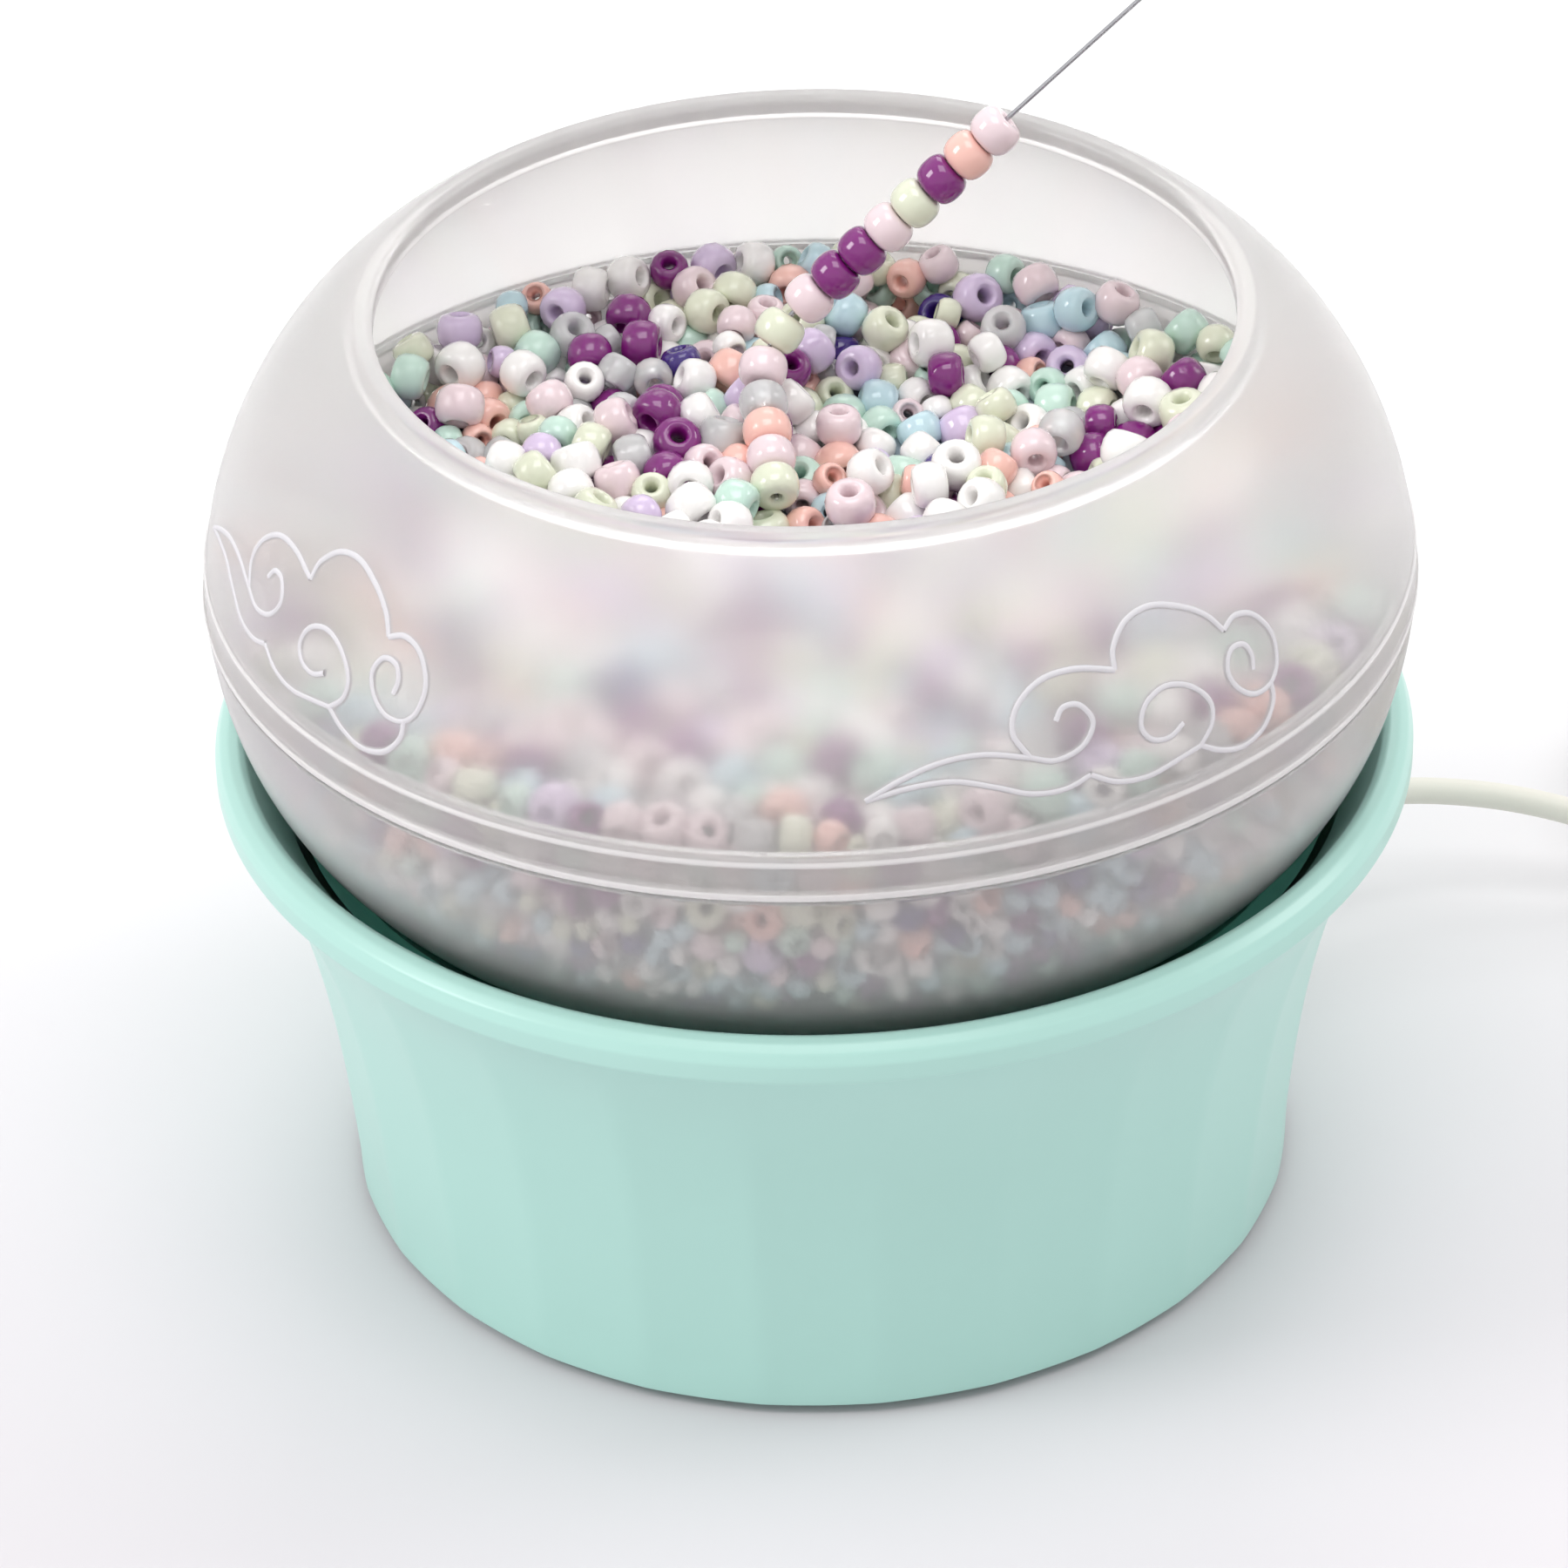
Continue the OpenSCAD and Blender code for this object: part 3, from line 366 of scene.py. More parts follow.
def addCord(name, route, nodes, s):
    curve = bpy.data.curves.new(name, "CURVE")
    curve.dimensions = "3D"
    curve.bevel_depth = s["width"] / 2 * mm
    curve.bevel_resolution = s["sides"]
    curve.use_fill_caps = True
    line = curve.splines.new("POLY")
    line.points.add(len(route) - 1)
    for point, place in zip(line.points, route):
        point.co = (place[0] * mm, place[1] * mm, place[2] * mm, 1)
    line.use_smooth = True
    curve.materials.append(finishes["lead_white"])
    piece = bpy.data.objects.new(name, curve)
    bpy.context.collection.objects.link(piece)
    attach(piece, "base")
    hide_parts(*nodes)
    return piece


# Points between the given ones on a smooth curve through them all
def smoothRoute(route, parts=4):
    ends = [2 * Vector(route[0]) - Vector(route[1])] + [Vector(p) for p in route]
    ends.append(2 * Vector(route[-1]) - Vector(route[-2]))
    out = []
    for a, b, c, d in zip(ends, ends[1:], ends[2:], ends[3:]):
        for i in range(parts):
            t = i / parts
            out.append(tuple(0.5 * (2 * b + (c - a) * t + (2 * a - 5 * b + 4 * c - d) * t * t
                                    + (3 * b - a - 3 * c + d) * t ** 3)))
    return out + [tuple(route[-1])]


def makeCords(s):
    lead = smoothRoute(s["run"]) + coilRoute(s["coil"]) + smoothRoute(s["link"])
    tail = smoothRoute(s["tail"])
    leadPiece = addCord("leadToControl", lead, ["cord_run", "cord_coil", "cord_link"], s)
    tailPiece = addCord("leadToPlug", tail, ["cord_tail"], s)
    print("cords laid:", round(routeLength(lead)), "mm and", round(routeLength(tail)), "mm")


makeCords(leadSet)


# Turned shells, from an outline of (radius, height) in mm
cornerSet = {
    "share": 0.45,  # of a side, at most, for one corner
    "least": 0.02,
    "blunt": 165,  # degrees, and blunter corners stay as they are
    "axis": 0.01,  # points nearer to the axis lie on it
}


def roundCorners(outline, radius, parts=4, s=cornerSet):
    out = []
    n = len(outline)
    for i in range(n):
        a, b, c = (Vector(outline[(i + k) % n]) for k in (-1, 0, 1))
        back, on = a - b, c - b
        reach = min(radius, back.length * s["share"], on.length * s["share"])
        if reach < s["least"] or back.angle(on) > math.radians(s["blunt"]) or b.x < s["axis"]:
            out.append(tuple(b))
            continue
        start, end = b + back.normalized() * reach, b + on.normalized() * reach
        for k in range(parts + 1):
            t = k / parts
            out.append(tuple((1 - t) ** 2 * start + 2 * t * (1 - t) * b + t * t * end))
    return out


def turned(name, outline, finish, body, segments=224, reshape=None):
    rings = []
    vertices = []
    for r, z in outline:
        if r < cornerSet["axis"]:
            rings.append([len(vertices)] * segments)
            vertices.append((0, 0, z * mm))
            continue
        rings.append(list(range(len(vertices), len(vertices) + segments)))
        for k in range(segments):
            angle = 2 * math.pi * k / segments
            radius = reshape(r, z, angle) if reshape else r
            vertices.append((radius * math.cos(angle) * mm, radius * math.sin(angle) * mm, z * mm))
    faces = []
    for low, high in zip(rings, rings[1:] + rings[:1]):
        for k in range(segments):
            j = (k + 1) % segments
            face = [low[k], low[j], high[j], high[k]]
            face = [v for i, v in enumerate(face) if v != face[i - 1]]
            if len(face) > 2:
                faces.append(face)
    return addPiece(name, vertices, faces, finish, body)


# Base shell: it flares to a banded rim, and its wall has soft upright flats
shellSet = {
    "lift": 1.2, "footRadius": 49.3, "slope": 0.05, "flare": 9.4, "flareLength": 14.6,
    "rimLow": 50.4, "rimRadius": 61.8, "underRim": 0.7,  # the wall ends this far under the rim
    "wall": 2.2, "flangeLow": 3.4, "flangeHigh": 5.0, "flangeRadius": 36,
    "band": [(-0.2, -0.5), (0, -0.1), (0, 1.8), (-0.5, 2.9), (-1.4, 3.6), (-2.4, 3.8), (-3.1, 3.5)],
    "funnel": [(58.3, 53.3), (54.9, 48.2), (54.9, 47.2)],  # down inside the rim to the well
    "innerTop": 45.6, "footStep": 1.7, "corner": 0.25,
    "steps": (40, 20),  # up the outside and down the inside
    "flats": 26, "flatDepth": 0.36, "flatTurn": 0.9, "flatTop": 48, "flatFade": 6, "flatLow": 5,
    "flatFoot": 0.3,  # share of the depth that is left at the foot
    "flatsFrom": 47, "perFlat": 13,
}


def makeShell(s):
    def wallRadius(z):
        flare = s["flare"] * math.exp((z - s["rimLow"]) / s["flareLength"])
        return s["footRadius"] + s["slope"] * (z - s["lift"]) + flare

    def flats(r, z, angle):  # the wall drawn in towards a polygon between its ridges
        if r < s["flatsFrom"] or z > s["flatTop"]:
            return r
        step = 2 * math.pi / s["flats"]
        u = ((angle + math.radians(s["flatTurn"])) / step) % 1 * 2 - 1
        foot = s["flatFoot"] + (1 - s["flatFoot"]) * max(0, z - s["lift"]) / s["flatLow"]
        fade = min(1, (s["flatTop"] - z) / s["flatFade"], foot)
        return r - s["flatDepth"] * fade * (1 - u * u)

    up, down = s["steps"]
    rise = s["rimLow"] - s["underRim"] - s["lift"]
    outer = [(wallRadius(z), z) for z in (s["lift"] + rise * i / up for i in range(up + 1))]
    band = [(s["rimRadius"] + out, s["rimLow"] + high) for out, high in s["band"]]
    top = s["flangeHigh"]
    heights = [top + (s["innerTop"] - top) * i / down for i in range(down - 1, -1, -1)]
    inner = [(wallRadius(z) - s["wall"], z) for z in heights]
    foot = s["footRadius"] - s["footStep"]
    flange = [(s["flangeRadius"], top), (s["flangeRadius"], s["flangeLow"]),
              (foot, s["flangeLow"]), (foot, s["lift"])]
    outline = roundCorners(outer + band + s["funnel"] + inner + flange, s["corner"])
    shell = turned("flaredShell", outline, finishes["shell_plastic"], "base",
                   s["flats"] * s["perFlat"], flats)
    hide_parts("base_shell")
    print("shell turned")


makeShell(shellSet)


# Bowl and cover
bowlSet = {
    "radius": 61.85, "top": 78.8, "depth": 44.4, "power": 2.68, "wall": 1.8, "seam": 71.3,
    "recess": 14.5, "recessTop": 38.4, "socket": 8.5, "socketTop": 44.4,
    "neck": 60.2, "neckWall": 1.6, "neckTop": 75.2, "neckLow": 72.2, "shoulder": 69.8,
    "pin": 6.3,  # radius of the hole for the hub
    "floor": 0.6,  # the floor lies this far above the lowest point of the full curve
    "corner": 0.35,
    "rings": 34, "crowd": 1.6,  # rings up the wall, crowded low down, where the curve is flat
    "step": 0.4, "lap": 0.3,  # the outside and the neck end this far below the seam
}
coverSet = {
    "skirt": 61.8, "skirtTop": 75.4, "belt": 61.5, "beltLow": 72.3, "ledge": 0.3, "soft": (0.15, 0.2),
    "ring": 36.2, "width": 25.2, "waist": 72.2, "height": 32.5, "power": 1.8,
    "first": 8, "last": 67.5, "lastInside": 62,  # degrees round the dome's outline
    "points": 60,
    "wall": 1.6, "thinner": (0.3, 0.8),  # the inside is less wide and high by these shares of the wall
    "mouth": 43, "lipTop": 101.95, "lipLow": 99.2,
    "lipOver": [(0.6, 0), (0, -0.5)], "lipUnder": [(0, 0.4), (0.4, 0), (1.4, 0)],
    "sideGap": 0.3, "topGap": 0.4,  # to the bowl's neck
    "corner": 0.5,
}


def cupRadius(z, radius, depth, s=bowlSet):
    return radius * max(0, 1 - ((s["top"] - z) / depth) ** s["power"]) ** (1 / s["power"])


def domePoint(angle, inset=0.0, s=coverSet):
    across, up = math.cos(angle) ** (2 / s["power"]), math.sin(angle) ** (2 / s["power"])
    width, height = (s[k] - share * inset for k, share in zip(("width", "height"), s["thinner"]))
    return (s["ring"] - inset + width * across, s["waist"] + height * up)


def makeBowl(s):
    low = s["top"] - s["depth"] + s["floor"]
    inLow = low + s["wall"]
    inRadius, inDepth = s["radius"] - s["wall"], s["depth"] - s["wall"]
    rise = [(i / s["rings"]) ** s["crowd"] for i in range(s["rings"] + 1)]
    outHeights = [low + (s["seam"] - s["step"] - low) * t for t in rise]
    inHeights = [inLow + (s["shoulder"] - inLow) * t for t in reversed(rise)]
    outer = [(cupRadius(z, s["radius"], s["depth"]), z) for z in outHeights]
    inner = [(cupRadius(z, inRadius, inDepth), z) for z in inHeights]
    neckIn = s["neck"] - s["neckWall"]
    capTop, bossTop = s["recessTop"] + s["wall"], s["socketTop"] + s["wall"]
    outline = [(s["recess"], low)] + outer + [
        (s["neck"], s["seam"] - s["lap"]), (s["neck"], s["neckTop"]), (neckIn, s["neckTop"]),
        (neckIn, s["neckLow"])] + inner + [
        (s["recess"] + s["wall"], inLow), (s["recess"] + s["wall"], capTop), (s["socket"], capTop),
        (s["socket"], bossTop), (0, bossTop), (0, s["socketTop"]), (s["pin"], s["socketTop"]),
        (s["pin"], s["recessTop"]), (s["recess"], s["recessTop"])]
    outline = roundCorners(outline, s["corner"])
    bowl = turned("frostedBowl", outline, finishes["frosted_plastic"], "bowl")
    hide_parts("lower_bowl")


def makeCover(s):
    def angles(last):
        count = s["points"]
        return [math.radians(s["first"] + (last - s["first"]) * i / count) for i in range(count + 1)]

    seam, belt, inside = bowlSet["seam"], s["belt"], bowlSet["neck"] + s["sideGap"]
    inward, down = s["soft"]
    outline = [(s["skirt"], seam), (s["skirt"], s["beltLow"] - s["ledge"]), (belt, s["beltLow"]),
               (belt, s["skirtTop"] - down), (belt - inward, s["skirtTop"])]
    outline += [domePoint(a) for a in angles(s["last"])]
    outline += [(s["mouth"] + out, s["lipTop"] + up) for out, up in s["lipOver"]]
    outline += [(s["mouth"] + out, s["lipLow"] + up) for out, up in s["lipUnder"]]
    outline += [domePoint(a, s["wall"]) for a in reversed(angles(s["lastInside"]))]
    outline += [(inside, bowlSet["neckTop"] + s["topGap"]), (inside, seam)]
    outline = roundCorners(outline, s["corner"])
    cover = turned("frostedCover", outline, coverFinish, "cover")
    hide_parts("upper_cover")


makeBowl(bowlSet)
makeCover(coverSet)
print("bowl and cover turned")


# Needle beads and the pile of loose beads
needleSet = {
    "knee": (-5.2, 31.2, 79), "overLip": (21.9, 35.3, 103.4), "dip": (0.09, -0.946, -0.311),
    "bend": 7, "bendParts": 8, "straight": 66, "dipLength": 21.5, "end": 6,
    "diameter": 5.2, "length": 3.7, "hole": 0.55, "sides": 28, "rings": 12,
    "firstBead": 2, "drop": 0.15, "gap": 0.1,
    "play": 0.85, "tight": 3, "loose": 3,  # extra room at three gaps, after the first three
    "sunk": 6,  # beads that the heap makes room for
    "order": ["Pearl", "Blush", "Salmon", "Clear", "Blush", "Pearl", "Blush", "Purple", "Purple", "Blush",
              "Pearl", "Purple", "Salmon", "Blush"],
}
pileSet = {
    "seed": 7,
    "level": 69.4, "dish": 3, "edge": 58.3,  # the heap's surface, in height and radius
    "highest": 75.4, "lowest": 36.4,
    "under": 0.8, "skin": 7, "least": 0.5,  # how deep the beads lie at the top and by the wall
    "strew": 1.5,  # how far from the wall they start, at most
    "rounds": 60, "quickRounds": 20, "settle": 0.3, "push": 0.4, "room": 0.15,
    "span": 55,  # radius that the top beads are strewn over
    "ball": 0.44,  # a bead's ball radius against its diameter
    "hole": 0.16, "long": 0.74,  # hole radius and length against the diameter
    "layers": [
        {"name": "top", "count": 850, "low": 0, "high": 4,  # over the heap, and over the table below
         "sizes": [3.6, 4.4, 5.0, 5.0, 5.4], "sides": 16, "rings": 7,
         "shares": {"White": 24, "Pearl": 14, "Mint": 8, "Sky": 9, "Salmon": 6, "Blush": 16, "Lilac": 5,
                    "Purple": 9, "Indigo": 2, "Clear": 7, "Lime": 0.3}},
        {"name": "wall", "count": 400, "low": 64, "high": 75,
         "sizes": [3.6, 4.4, 5.0], "sides": 14, "rings": 6,
         "shares": {"White": 22, "Pearl": 10, "Mint": 12, "Sky": 12, "Salmon": 8, "Blush": 14, "Lilac": 6,
                    "Purple": 10, "Clear": 6}},
        {"name": "deep", "count": 850, "low": 56.5, "high": 67,
         "sizes": [2.6, 3.0, 3.4, 4.0], "sides": 8, "rings": 4,
         "shares": {"White": 16, "Sky": 30, "Mint": 9, "Blush": 10, "Pearl": 6, "Clear": 3, "Salmon": 6,
                    "Indigo": 10, "Purple": 10}},
    ],
}


def needlePath(s):
    knee, over, dip = Vector(s["knee"]), Vector(s["overLip"]), Vector(s["dip"])
    lean = (over - knee).normalized()
    route = [knee + dip * s["dipLength"]]
    for i in range(s["bendParts"] + 1):
        t = i / s["bendParts"]
        route.append(knee + (1 - t) ** 2 * dip * s["bend"] + t * t * lean * s["bend"])
    return route + [knee + lean * (s["straight"] - s["end"])]


def alongRoute(route, distance):
    for a, b in zip(route, route[1:]):
        step = (b - a).length
        if distance <= step:
            return a + (b - a) * (distance / step)
        distance -= step
    return route[-1]


beadSet = {
    "lip": 0.34,  # width of the rounded rim against the length
    "plump": 0.8, "squat": 0.9,  # below 1, fuller than a half circle, outwards and endwards
    "bevel": 0.35, "dent": 0.02,  # mm, at the mouth of the hole
}


def beadOutline(diameter, length, hole, parts, s=beadSet):
    lip, end = s["lip"] * length, length / 2
    out = []
    for i in range(parts + 1):
        a = -math.pi / 2 + math.pi * i / parts
        up, bulge = math.sin(a), math.cos(a)
        high = math.copysign(abs(up) ** s["squat"], up)
        out.append((diameter / 2 - lip + lip * bulge ** s["plump"], end * high))
    mouth, down = hole + s["bevel"], end - s["bevel"]
    return out + [(mouth, end - s["dent"]), (hole, down), (hole, -down), (mouth, s["dent"] - end)]


# Many beads as one mesh: each is (middle, axis, diameter, length, hole radius), in mm
def addBeads(name, beads, finish, body, sides=16, parts=7):
    angles = np.linspace(0, 2 * np.pi, sides, endpoint=False)
    ring = np.stack([np.cos(angles), np.sin(angles)], 1)
    vertices, faces = [], []
    for middle, axis, diameter, length, hole in beads:
        outline = np.array(beadOutline(diameter, length, hole, parts))
        axis = Vector(axis).normalized()
        side = axis.orthogonal().normalized()
        other = axis.cross(side)
        rows = len(outline)
        spokes = ring[None, :, :1] * np.array(side) + ring[None, :, 1:] * np.array(other)
        local = outline[:, None, 0, None] * spokes + outline[:, None, 1, None] * np.array(axis)
        first = len(vertices) * rows * sides
        vertices.append((local + np.array(middle)).reshape(-1, 3) * mm)
        for i in range(rows):
            a, b = first + i * sides, first + (i + 1) % rows * sides
            faces += [(a + k, a + (k + 1) % sides, b + (k + 1) % sides, b + k) for k in range(sides)]
    return addPiece(name, np.concatenate(vertices), faces, finish, body)


def strungBeads(s):
    route = needlePath(s)
    beads = []
    for k in range(len(s["order"])):
        slack = s["play"] * min(max(k - s["tight"], 0), s["loose"])
        at = s["firstBead"] + (s["length"] + s["gap"]) * k + slack
        axis = alongRoute(route, at + 1) - alongRoute(route, at - 1)
        middle = alongRoute(route, at) - Vector((0, 0, s["drop"]))
        beads.append((middle, axis, s["diameter"], s["length"], s["hole"]))
    return beads


def makeStrung(s):
    beads = strungBeads(s)
    for colour in sorted(set(s["order"])):
        mine = [b for b, c in zip(beads, s["order"]) if c == colour]
        addBeads("strung" + colour, mine, beadFinishes[colour], "needle",
                             s["sides"], s["rings"])
    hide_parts("strung_beads")


def heapHeight(r, s=pileSet):
    return s["level"] + s["dish"] * (r / s["edge"]) ** 2


# Settle balls of the beads' sizes between the bowl's wall and a core, all layers together
def settlePile(s):
    rng = np.random.default_rng(s["seed"])
    layers = s["layers"]
    layer = np.repeat(np.arange(len(layers)), [one["count"] for one in layers])
    sizes = np.concatenate([rng.choice(one["sizes"], one["count"]) for one in layers])
    radii = sizes * s["ball"]
    count = len(sizes)
    inner, depth = bowlSet["radius"] - bowlSet["wall"], bowlSet["depth"] - bowlSet["wall"]

    def wallAt(z, room):
        lift = np.clip((bowlSet["top"] - z) / (depth - room), 0, 0.999)
        return (inner - room) * (1 - lift ** bowlSet["power"]) ** (1 / bowlSet["power"])

    top = layer == 0
    angle = rng.uniform(0, 2 * np.pi, count)
    z = np.concatenate([rng.uniform(one["low"], one["high"], one["count"]) for one in layers])
    strewn = s["span"] * np.sqrt(rng.uniform(0, 1, count))
    r = np.where(top, strewn, wallAt(z, radii) - rng.uniform(0, s["strew"], count))
    z = np.where(top, heapHeight(r) + z, z)
    p = np.stack([r * np.cos(angle), r * np.sin(angle), z], 1).astype(np.float32)
    held = [np.array(bead[0]) for bead in strungBeads(needleSet)[:needleSet["sunk"]]]
    rounds = s["rounds"]
    for i in range(rounds):
        p[:, 2] -= np.where(top, s["settle"] * (1 - i / rounds), 0)
        gap = p[:, None, :] - p[None, :, :]
        far = np.sqrt((gap ** 2).sum(2)) + 1e-6
        near = np.clip((radii[:, None] + radii[None, :]).astype(np.float32) - far, 0, None)
        np.fill_diagonal(near, 0)
        p += s["push"] * (gap * (near / far)[:, :, None]).sum(1)
        for bead in held:
            away = p - bead
            d = np.sqrt((away ** 2).sum(1))
            p += away / d[:, None] * np.clip(radii + needleSet["diameter"] / 2 - d, 0, None)[:, None]
        r = np.hypot(p[:, 0], p[:, 1])
        room = radii + s["room"]
        p[:, 2] = np.clip(p[:, 2], s["lowest"] + room, s["highest"])
        limit = np.minimum(wallAt(p[:, 2], room), s["edge"] - room)
        core = np.minimum(limit - s["least"], wallAt(p[:, 2], 0) - s["skin"])
        low = heapHeight(r) - s["under"]
        inside = (r < core) & (p[:, 2] < low)
        lift = inside & ((low - p[:, 2] < core - r) | top)
        p[:, 2] = np.where(lift, low, p[:, 2])
        out = np.where(inside & ~lift, core, np.minimum(r, limit))
        p[:, :2] *= (out / np.maximum(r, 1e-6))[:, None]
    return p, sizes, layer


def makePile(s):
    rng = random.Random(s["seed"])
    places, sizes, layer = settlePile(s)
    replaced = {"White": "beads_white", "Mint": "beads_green", "Salmon": "beads_pink",
                "Purple": "beads_purple", "Sky": "beads_blue"}
    for number, one in enumerate(s["layers"]):
        names = list(one["shares"])
        beads = {name: [] for name in names}
        for place, size in zip(places[layer == number], sizes[layer == number]):
            colour = rng.choices(names, list(one["shares"].values()))[0]
            axis = (rng.gauss(0, 1), rng.gauss(0, 1), rng.gauss(0, 0.9))
            beads[colour].append((place, axis, size, size * s["long"], size * s["hole"]))
        for colour, mine in beads.items():
            if mine:
                piece = addBeads(one["name"] + colour, mine, beadFinishes[colour],
                                 "bowl", one["sides"], one["rings"])
                if number == 0 and colour in replaced:
                    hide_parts(replaced[colour])
    print("beads settled:", len(places))


# The core under the beads, pale at the top and in painted teal shade low down by the well
coreSet = {
    "inset": 4.5, "raised": 3,  # how far it stays inside the bowl's wall and above its floor
    "low": 41, "high": 66, "rings": 16, "sides": 96,  # lower edge and top of its wall
    "topRings": (50, 40, 30, 20, 10, 0),
    "below": 1.8,  # depth under the heap's surface
    "hollow": (18.5, 46.6),  # radius and height of the space for the bowl's hub
    # painted shade: the dark teal low on the core stands for the shade by the well
    "shade": ink(40, 104, 90), "pale": ink(180, 186, 198),
    "mottle": ink(150, 160, 176), "patch": 4, "patchShare": 0.3,
    "fade": (58, 72),  # heights from the painted shade to pale
}


def makeCore(s):
    inner = bowlSet["radius"] - bowlSet["wall"] - s["inset"]
    depth = bowlSet["depth"] - bowlSet["wall"] - s["raised"]
    low, high, count, (hollow, roof) = s["low"], s["high"], s["rings"], s["hollow"]
    heights = [low + (high - low) * (i / count) for i in range(count + 1)]
    wall = [(cupRadius(z, inner, depth), z) for z in heights]
    top = [(r, heapHeight(r) - s["below"]) for r in s["topRings"]]
    f = Finish("beadCore")
    # painted shade: the colour runs from dark teal low down to pale higher up
    colour = f.mix(f.ramp(f.axis("Z"), s["fade"][0] * mm, s["fade"][1] * mm), s["shade"], s["pale"])
    colour = f.mix(f.noise(s["patch"]) * s["patchShare"], colour, s["mottle"])
    finish = f.surface({"Base Color": colour, "Roughness": 0.4})
    outline = [(hollow, low)] + wall + top + [(0, roof), (hollow, roof)]
    core = turned("beadCore", outline, finish, "bowl", s["sides"])
    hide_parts("bead_load")


makeStrung(needleSet)
makePile(pileSet)
makeCore(coreSet)


# Cloud scrolls in low relief on the cover, drawn flat in mm and wrapped on to the dome
cloudSet = {
    "clouds": [(-66, 0), (-154.5, 1.5)],  # degrees round the cover, and tilt
    "middle": 12,  # height on the drawing that the tilt turns about
    "line": 0.8, "sink": 0.29,  # a line's width, and the depth of its middle
    "round": 60.5,  # radius that the drawing's width is laid round
    "colour": ink(238, 236, 240), "through": 0.2,
    "strokes": [
        [(-20.6, 9.2), (-17, 11), (-13, 12.2), (-8.7, 12.3), (-4.4, 11.2), (-1.6, 10.3), (1.4, 11),
         (2.9, 13), (1.8, 14.9), (0, 15.1), (-1, 14)],
        [(-4.2, 11.2), (-5.6, 13.8), (-4.6, 16.4), (-1.6, 18.2), (2.4, 18.3), (6.5, 17.1)],
        [(6.5, 17.1), (7, 19.2), (9.4, 21.2), (12.8, 21.6), (16.4, 20.3), (19, 18.5), (20.5, 16.4)],
        [(20.5, 16.4), (22.6, 17.1), (25, 16.2), (26.6, 13.6), (26.2, 10.8), (24.6, 9.2), (22.2, 9.1),
         (20.2, 10.6), (19.5, 12.6), (20.6, 14.3), (22.4, 14.2), (23.1, 12.8), (22.8, 11.4)],
        [(24.7, 9.4), (24.5, 7.4), (22.6, 5.4), (19.6, 4.7), (16.7, 5.5), (14.4, 6.9)],
        [(14.4, 6.9), (16.2, 8.6), (16.4, 10.8), (14.4, 13), (11.6, 13.9), (9, 13), (8, 11), (9, 9.4),
         (11, 9), (12.8, 9.8)],
        [(14.4, 6.9), (11.6, 6.5), (8, 6), (4.6, 6.5), (1.8, 8)],
        [(1.8, 8), (-1, 7.3), (-4.4, 7.6), (-8, 9), (-12, 10.2), (-16.4, 10.1), (-20.6, 9.2)],
    ],
}


def makeClouds(s):
    outline = [Vector(domePoint(math.radians(half / 2))) for half in range(171)]  # half degrees
    lengths = [0.0]
    for a, b in zip(outline, outline[1:]):
        lengths.append(lengths[-1] + (b - a).length)
    radii, heights = [p.x for p in outline], [p.y for p in outline]
    finish = moulded("cloudRelief", s["colour"], 0.6, 0.01,
                     sockets={"Transmission Weight": s["through"], "IOR": 1.3})
    for number, (turn, tilt) in enumerate(s["clouds"]):
        lean, middle = math.radians(tilt), s["middle"]
        curve = bpy.data.curves.new("cloud%d" % number, "CURVE")
        curve.dimensions = "3D"
        curve.bevel_depth = s["line"] / 2 * mm
        curve.bevel_resolution = 2
        for stroke in s["strokes"]:
            flat = smoothRoute([(x, y, 0) for x, y in stroke], 6)
            line = curve.splines.new("POLY")
            line.points.add(len(flat) - 1)
            for point, (across, up, _) in zip(line.points, flat):
                x = across * math.cos(lean) - (up - middle) * math.sin(lean)
                y = middle + across * math.sin(lean) + (up - middle) * math.cos(lean)
                r = float(np.interp(y, lengths, radii)) - s["sink"]
                z = float(np.interp(y, lengths, heights))
                angle = math.radians(turn) + x / s["round"]
                point.co = (r * math.cos(angle) * mm, r * math.sin(angle) * mm, z * mm, 1)
            line.use_smooth = True
        curve.materials.append(finish)
        piece = bpy.data.objects.new("cloudScroll%d" % number, curve)
        bpy.context.collection.objects.link(piece)
        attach(piece, "cover")
    print("clouds drawn:", len(s["clouds"]))


makeClouds(cloudSet)


# Stage: a plain pale table under a soft sky, with lamps overhead, at each side and behind
stageSet = {
    "half": 4,  # half the table's width in metres
    "far": ink(252, 252, 252),
    "near": ink(223, 218, 222),
    "fade": (-0.02, 0.2),  # from the near colour to the far one, metres from front to back
    "sky": 0.42,
    "aim": (0, 0, 0.05),
    "lamps": [  # places and sizes in metres, power in watts
        {"at": (0.02, -0.2, 1.1), "size": 0.65, "power": 3.9},
        {"at": (-1.1, -0.25, 0.85), "size": 0.5, "power": 5.7},
        {"at": (1.15, 0.3, 0.85), "size": 0.5, "power": 3.3},
        {"at": (0.1, 0.85, 0.9), "size": 0.6, "power": 2.4},
    ],
}


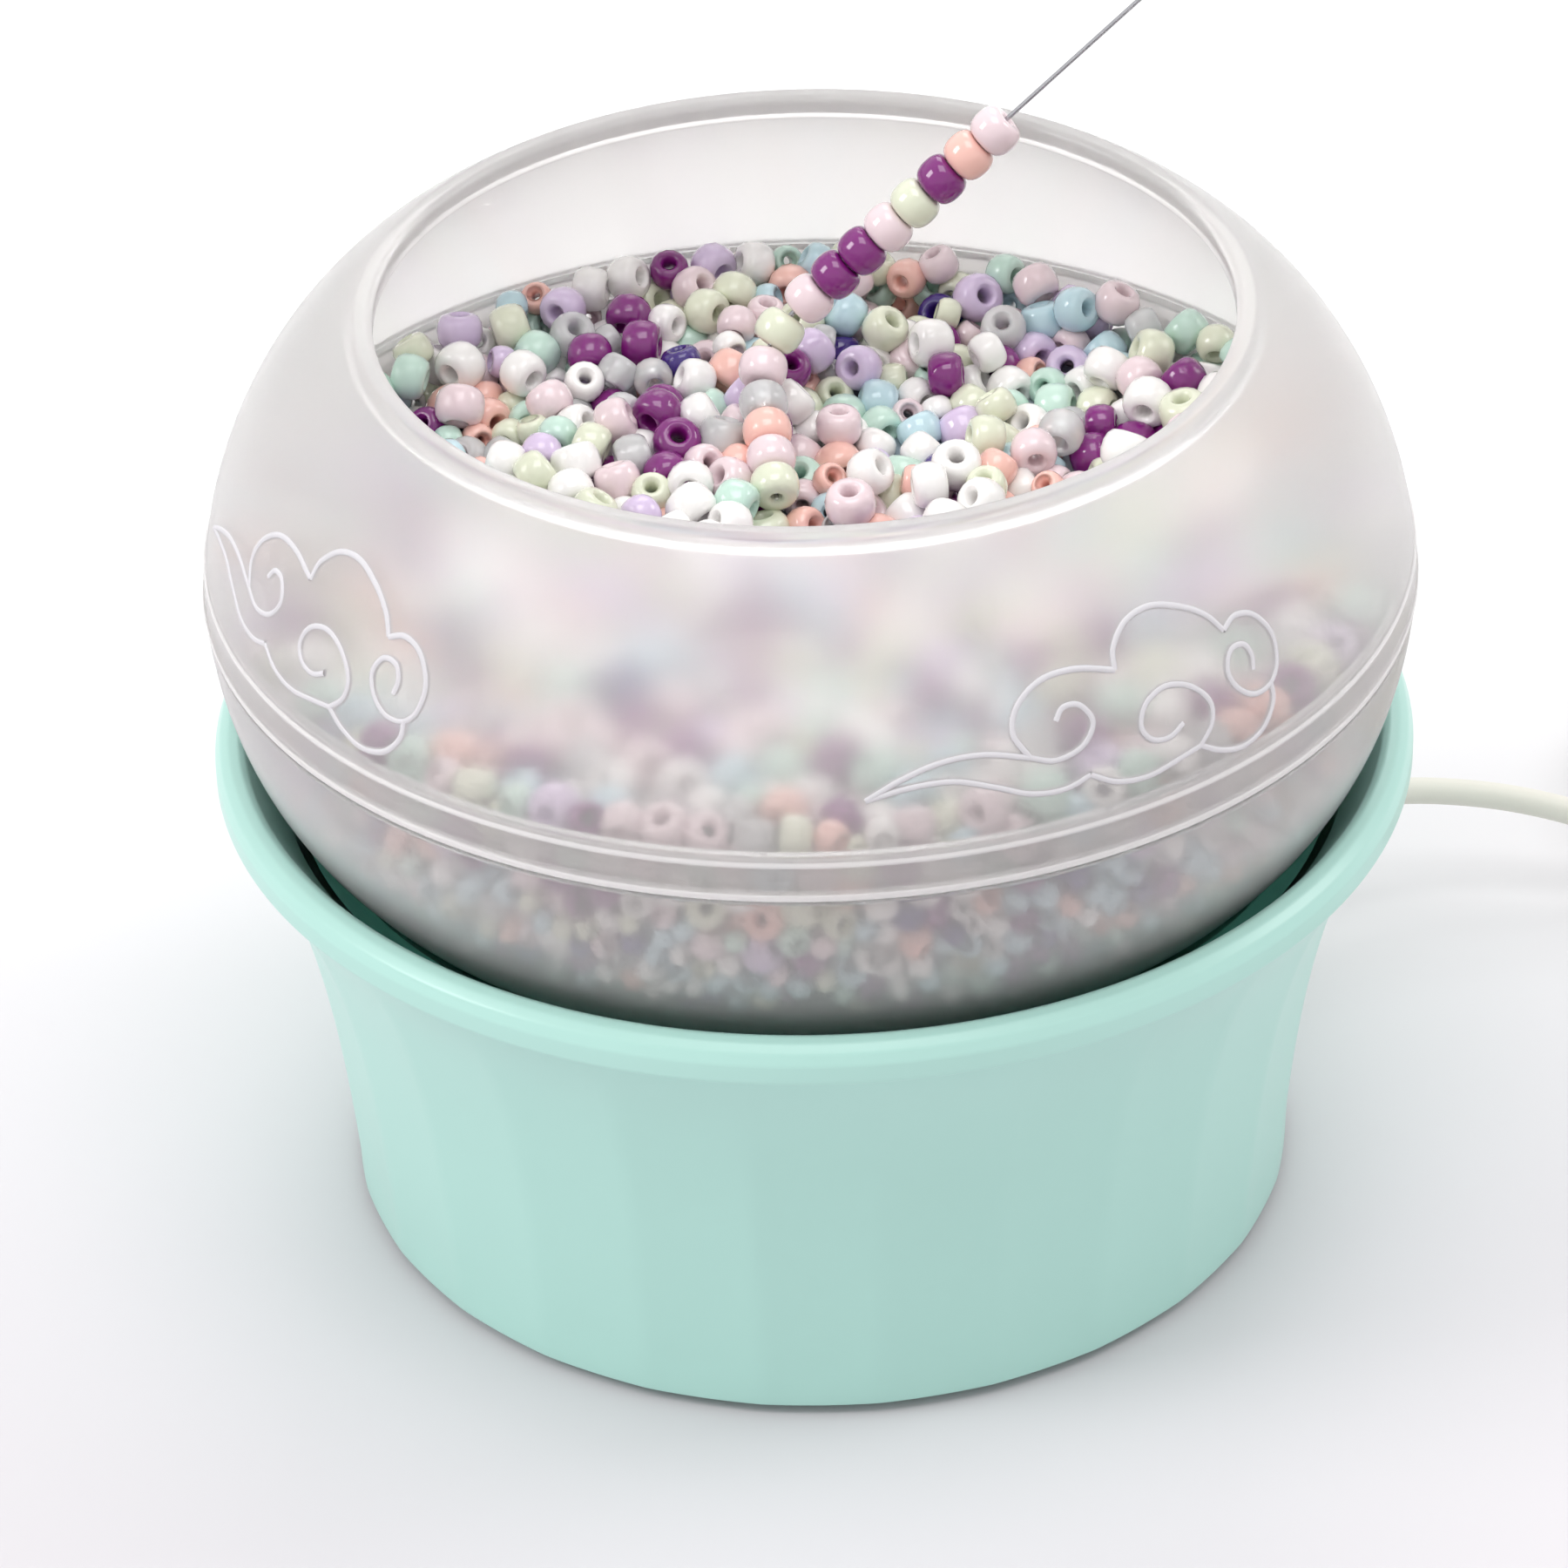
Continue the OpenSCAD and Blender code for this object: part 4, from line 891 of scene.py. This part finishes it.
# The sky lights softly, and is seen as plain white, also in gloss and through the frosted plastic
def makeSky(s):
    world = bpy.data.worlds.new("sky")
    world.use_nodes = True
    tree = world.node_tree
    tree.nodes.clear()
    out = tree.nodes.new("ShaderNodeOutputWorld")
    rays = tree.nodes.new("ShaderNodeLightPath")
    seen = None
    for kind in ("Is Camera Ray", "Is Glossy Ray", "Is Transmission Ray"):
        more = tree.nodes.new("ShaderNodeMath")
        more.operation = "MAXIMUM"
        tree.links.new(rays.outputs[kind], more.inputs[0])
        if seen:
            tree.links.new(seen.outputs[0], more.inputs[1])
        seen = more
    choice = tree.nodes.new("ShaderNodeMixShader")
    tree.links.new(seen.outputs[0], choice.inputs[0])
    for place, strength in ((1, s["sky"]), (2, 1.0)):
        light = tree.nodes.new("ShaderNodeBackground")
        light.inputs["Color"].default_value = (1, 1, 1, 1)
        light.inputs["Strength"].default_value = strength
        tree.links.new(light.outputs[0], choice.inputs[place])
    tree.links.new(choice.outputs[0], out.inputs["Surface"])
    bpy.context.scene.world = world


def makeStage(s):
    f = Finish("table")
    colour = f.mix(f.ramp(f.axis("Y"), *s["fade"]), s["near"], s["far"])
    finish = f.surface({"Base Color": colour, "Roughness": 0.6, "Specular IOR Level": 0.2})
    mesh = bpy.data.meshes.new("table")
    half = s["half"]
    corners = [(-half, -half, 0), (half, -half, 0), (half, half, 0), (-half, half, 0)]
    mesh.from_pydata(corners, [], [(0, 1, 2, 3)])
    mesh.materials.append(finish)
    table = bpy.data.objects.new("table", mesh)
    bpy.context.collection.objects.link(table)
    makeSky(s)
    for number, lamp in enumerate(s["lamps"]):
        data = bpy.data.lights.new("lamp%d" % number, "AREA")
        data.size = lamp["size"]
        data.energy = lamp["power"]
        light = bpy.data.objects.new("lamp%d" % number, data)
        light.location = lamp["at"]
        ahead = Vector(s["aim"]) - Vector(lamp["at"])
        light.rotation_euler = ahead.to_track_quat("-Z", "Y").to_euler()
        bpy.context.collection.objects.link(light)
    print("stage set")


makeStage(stageSet)
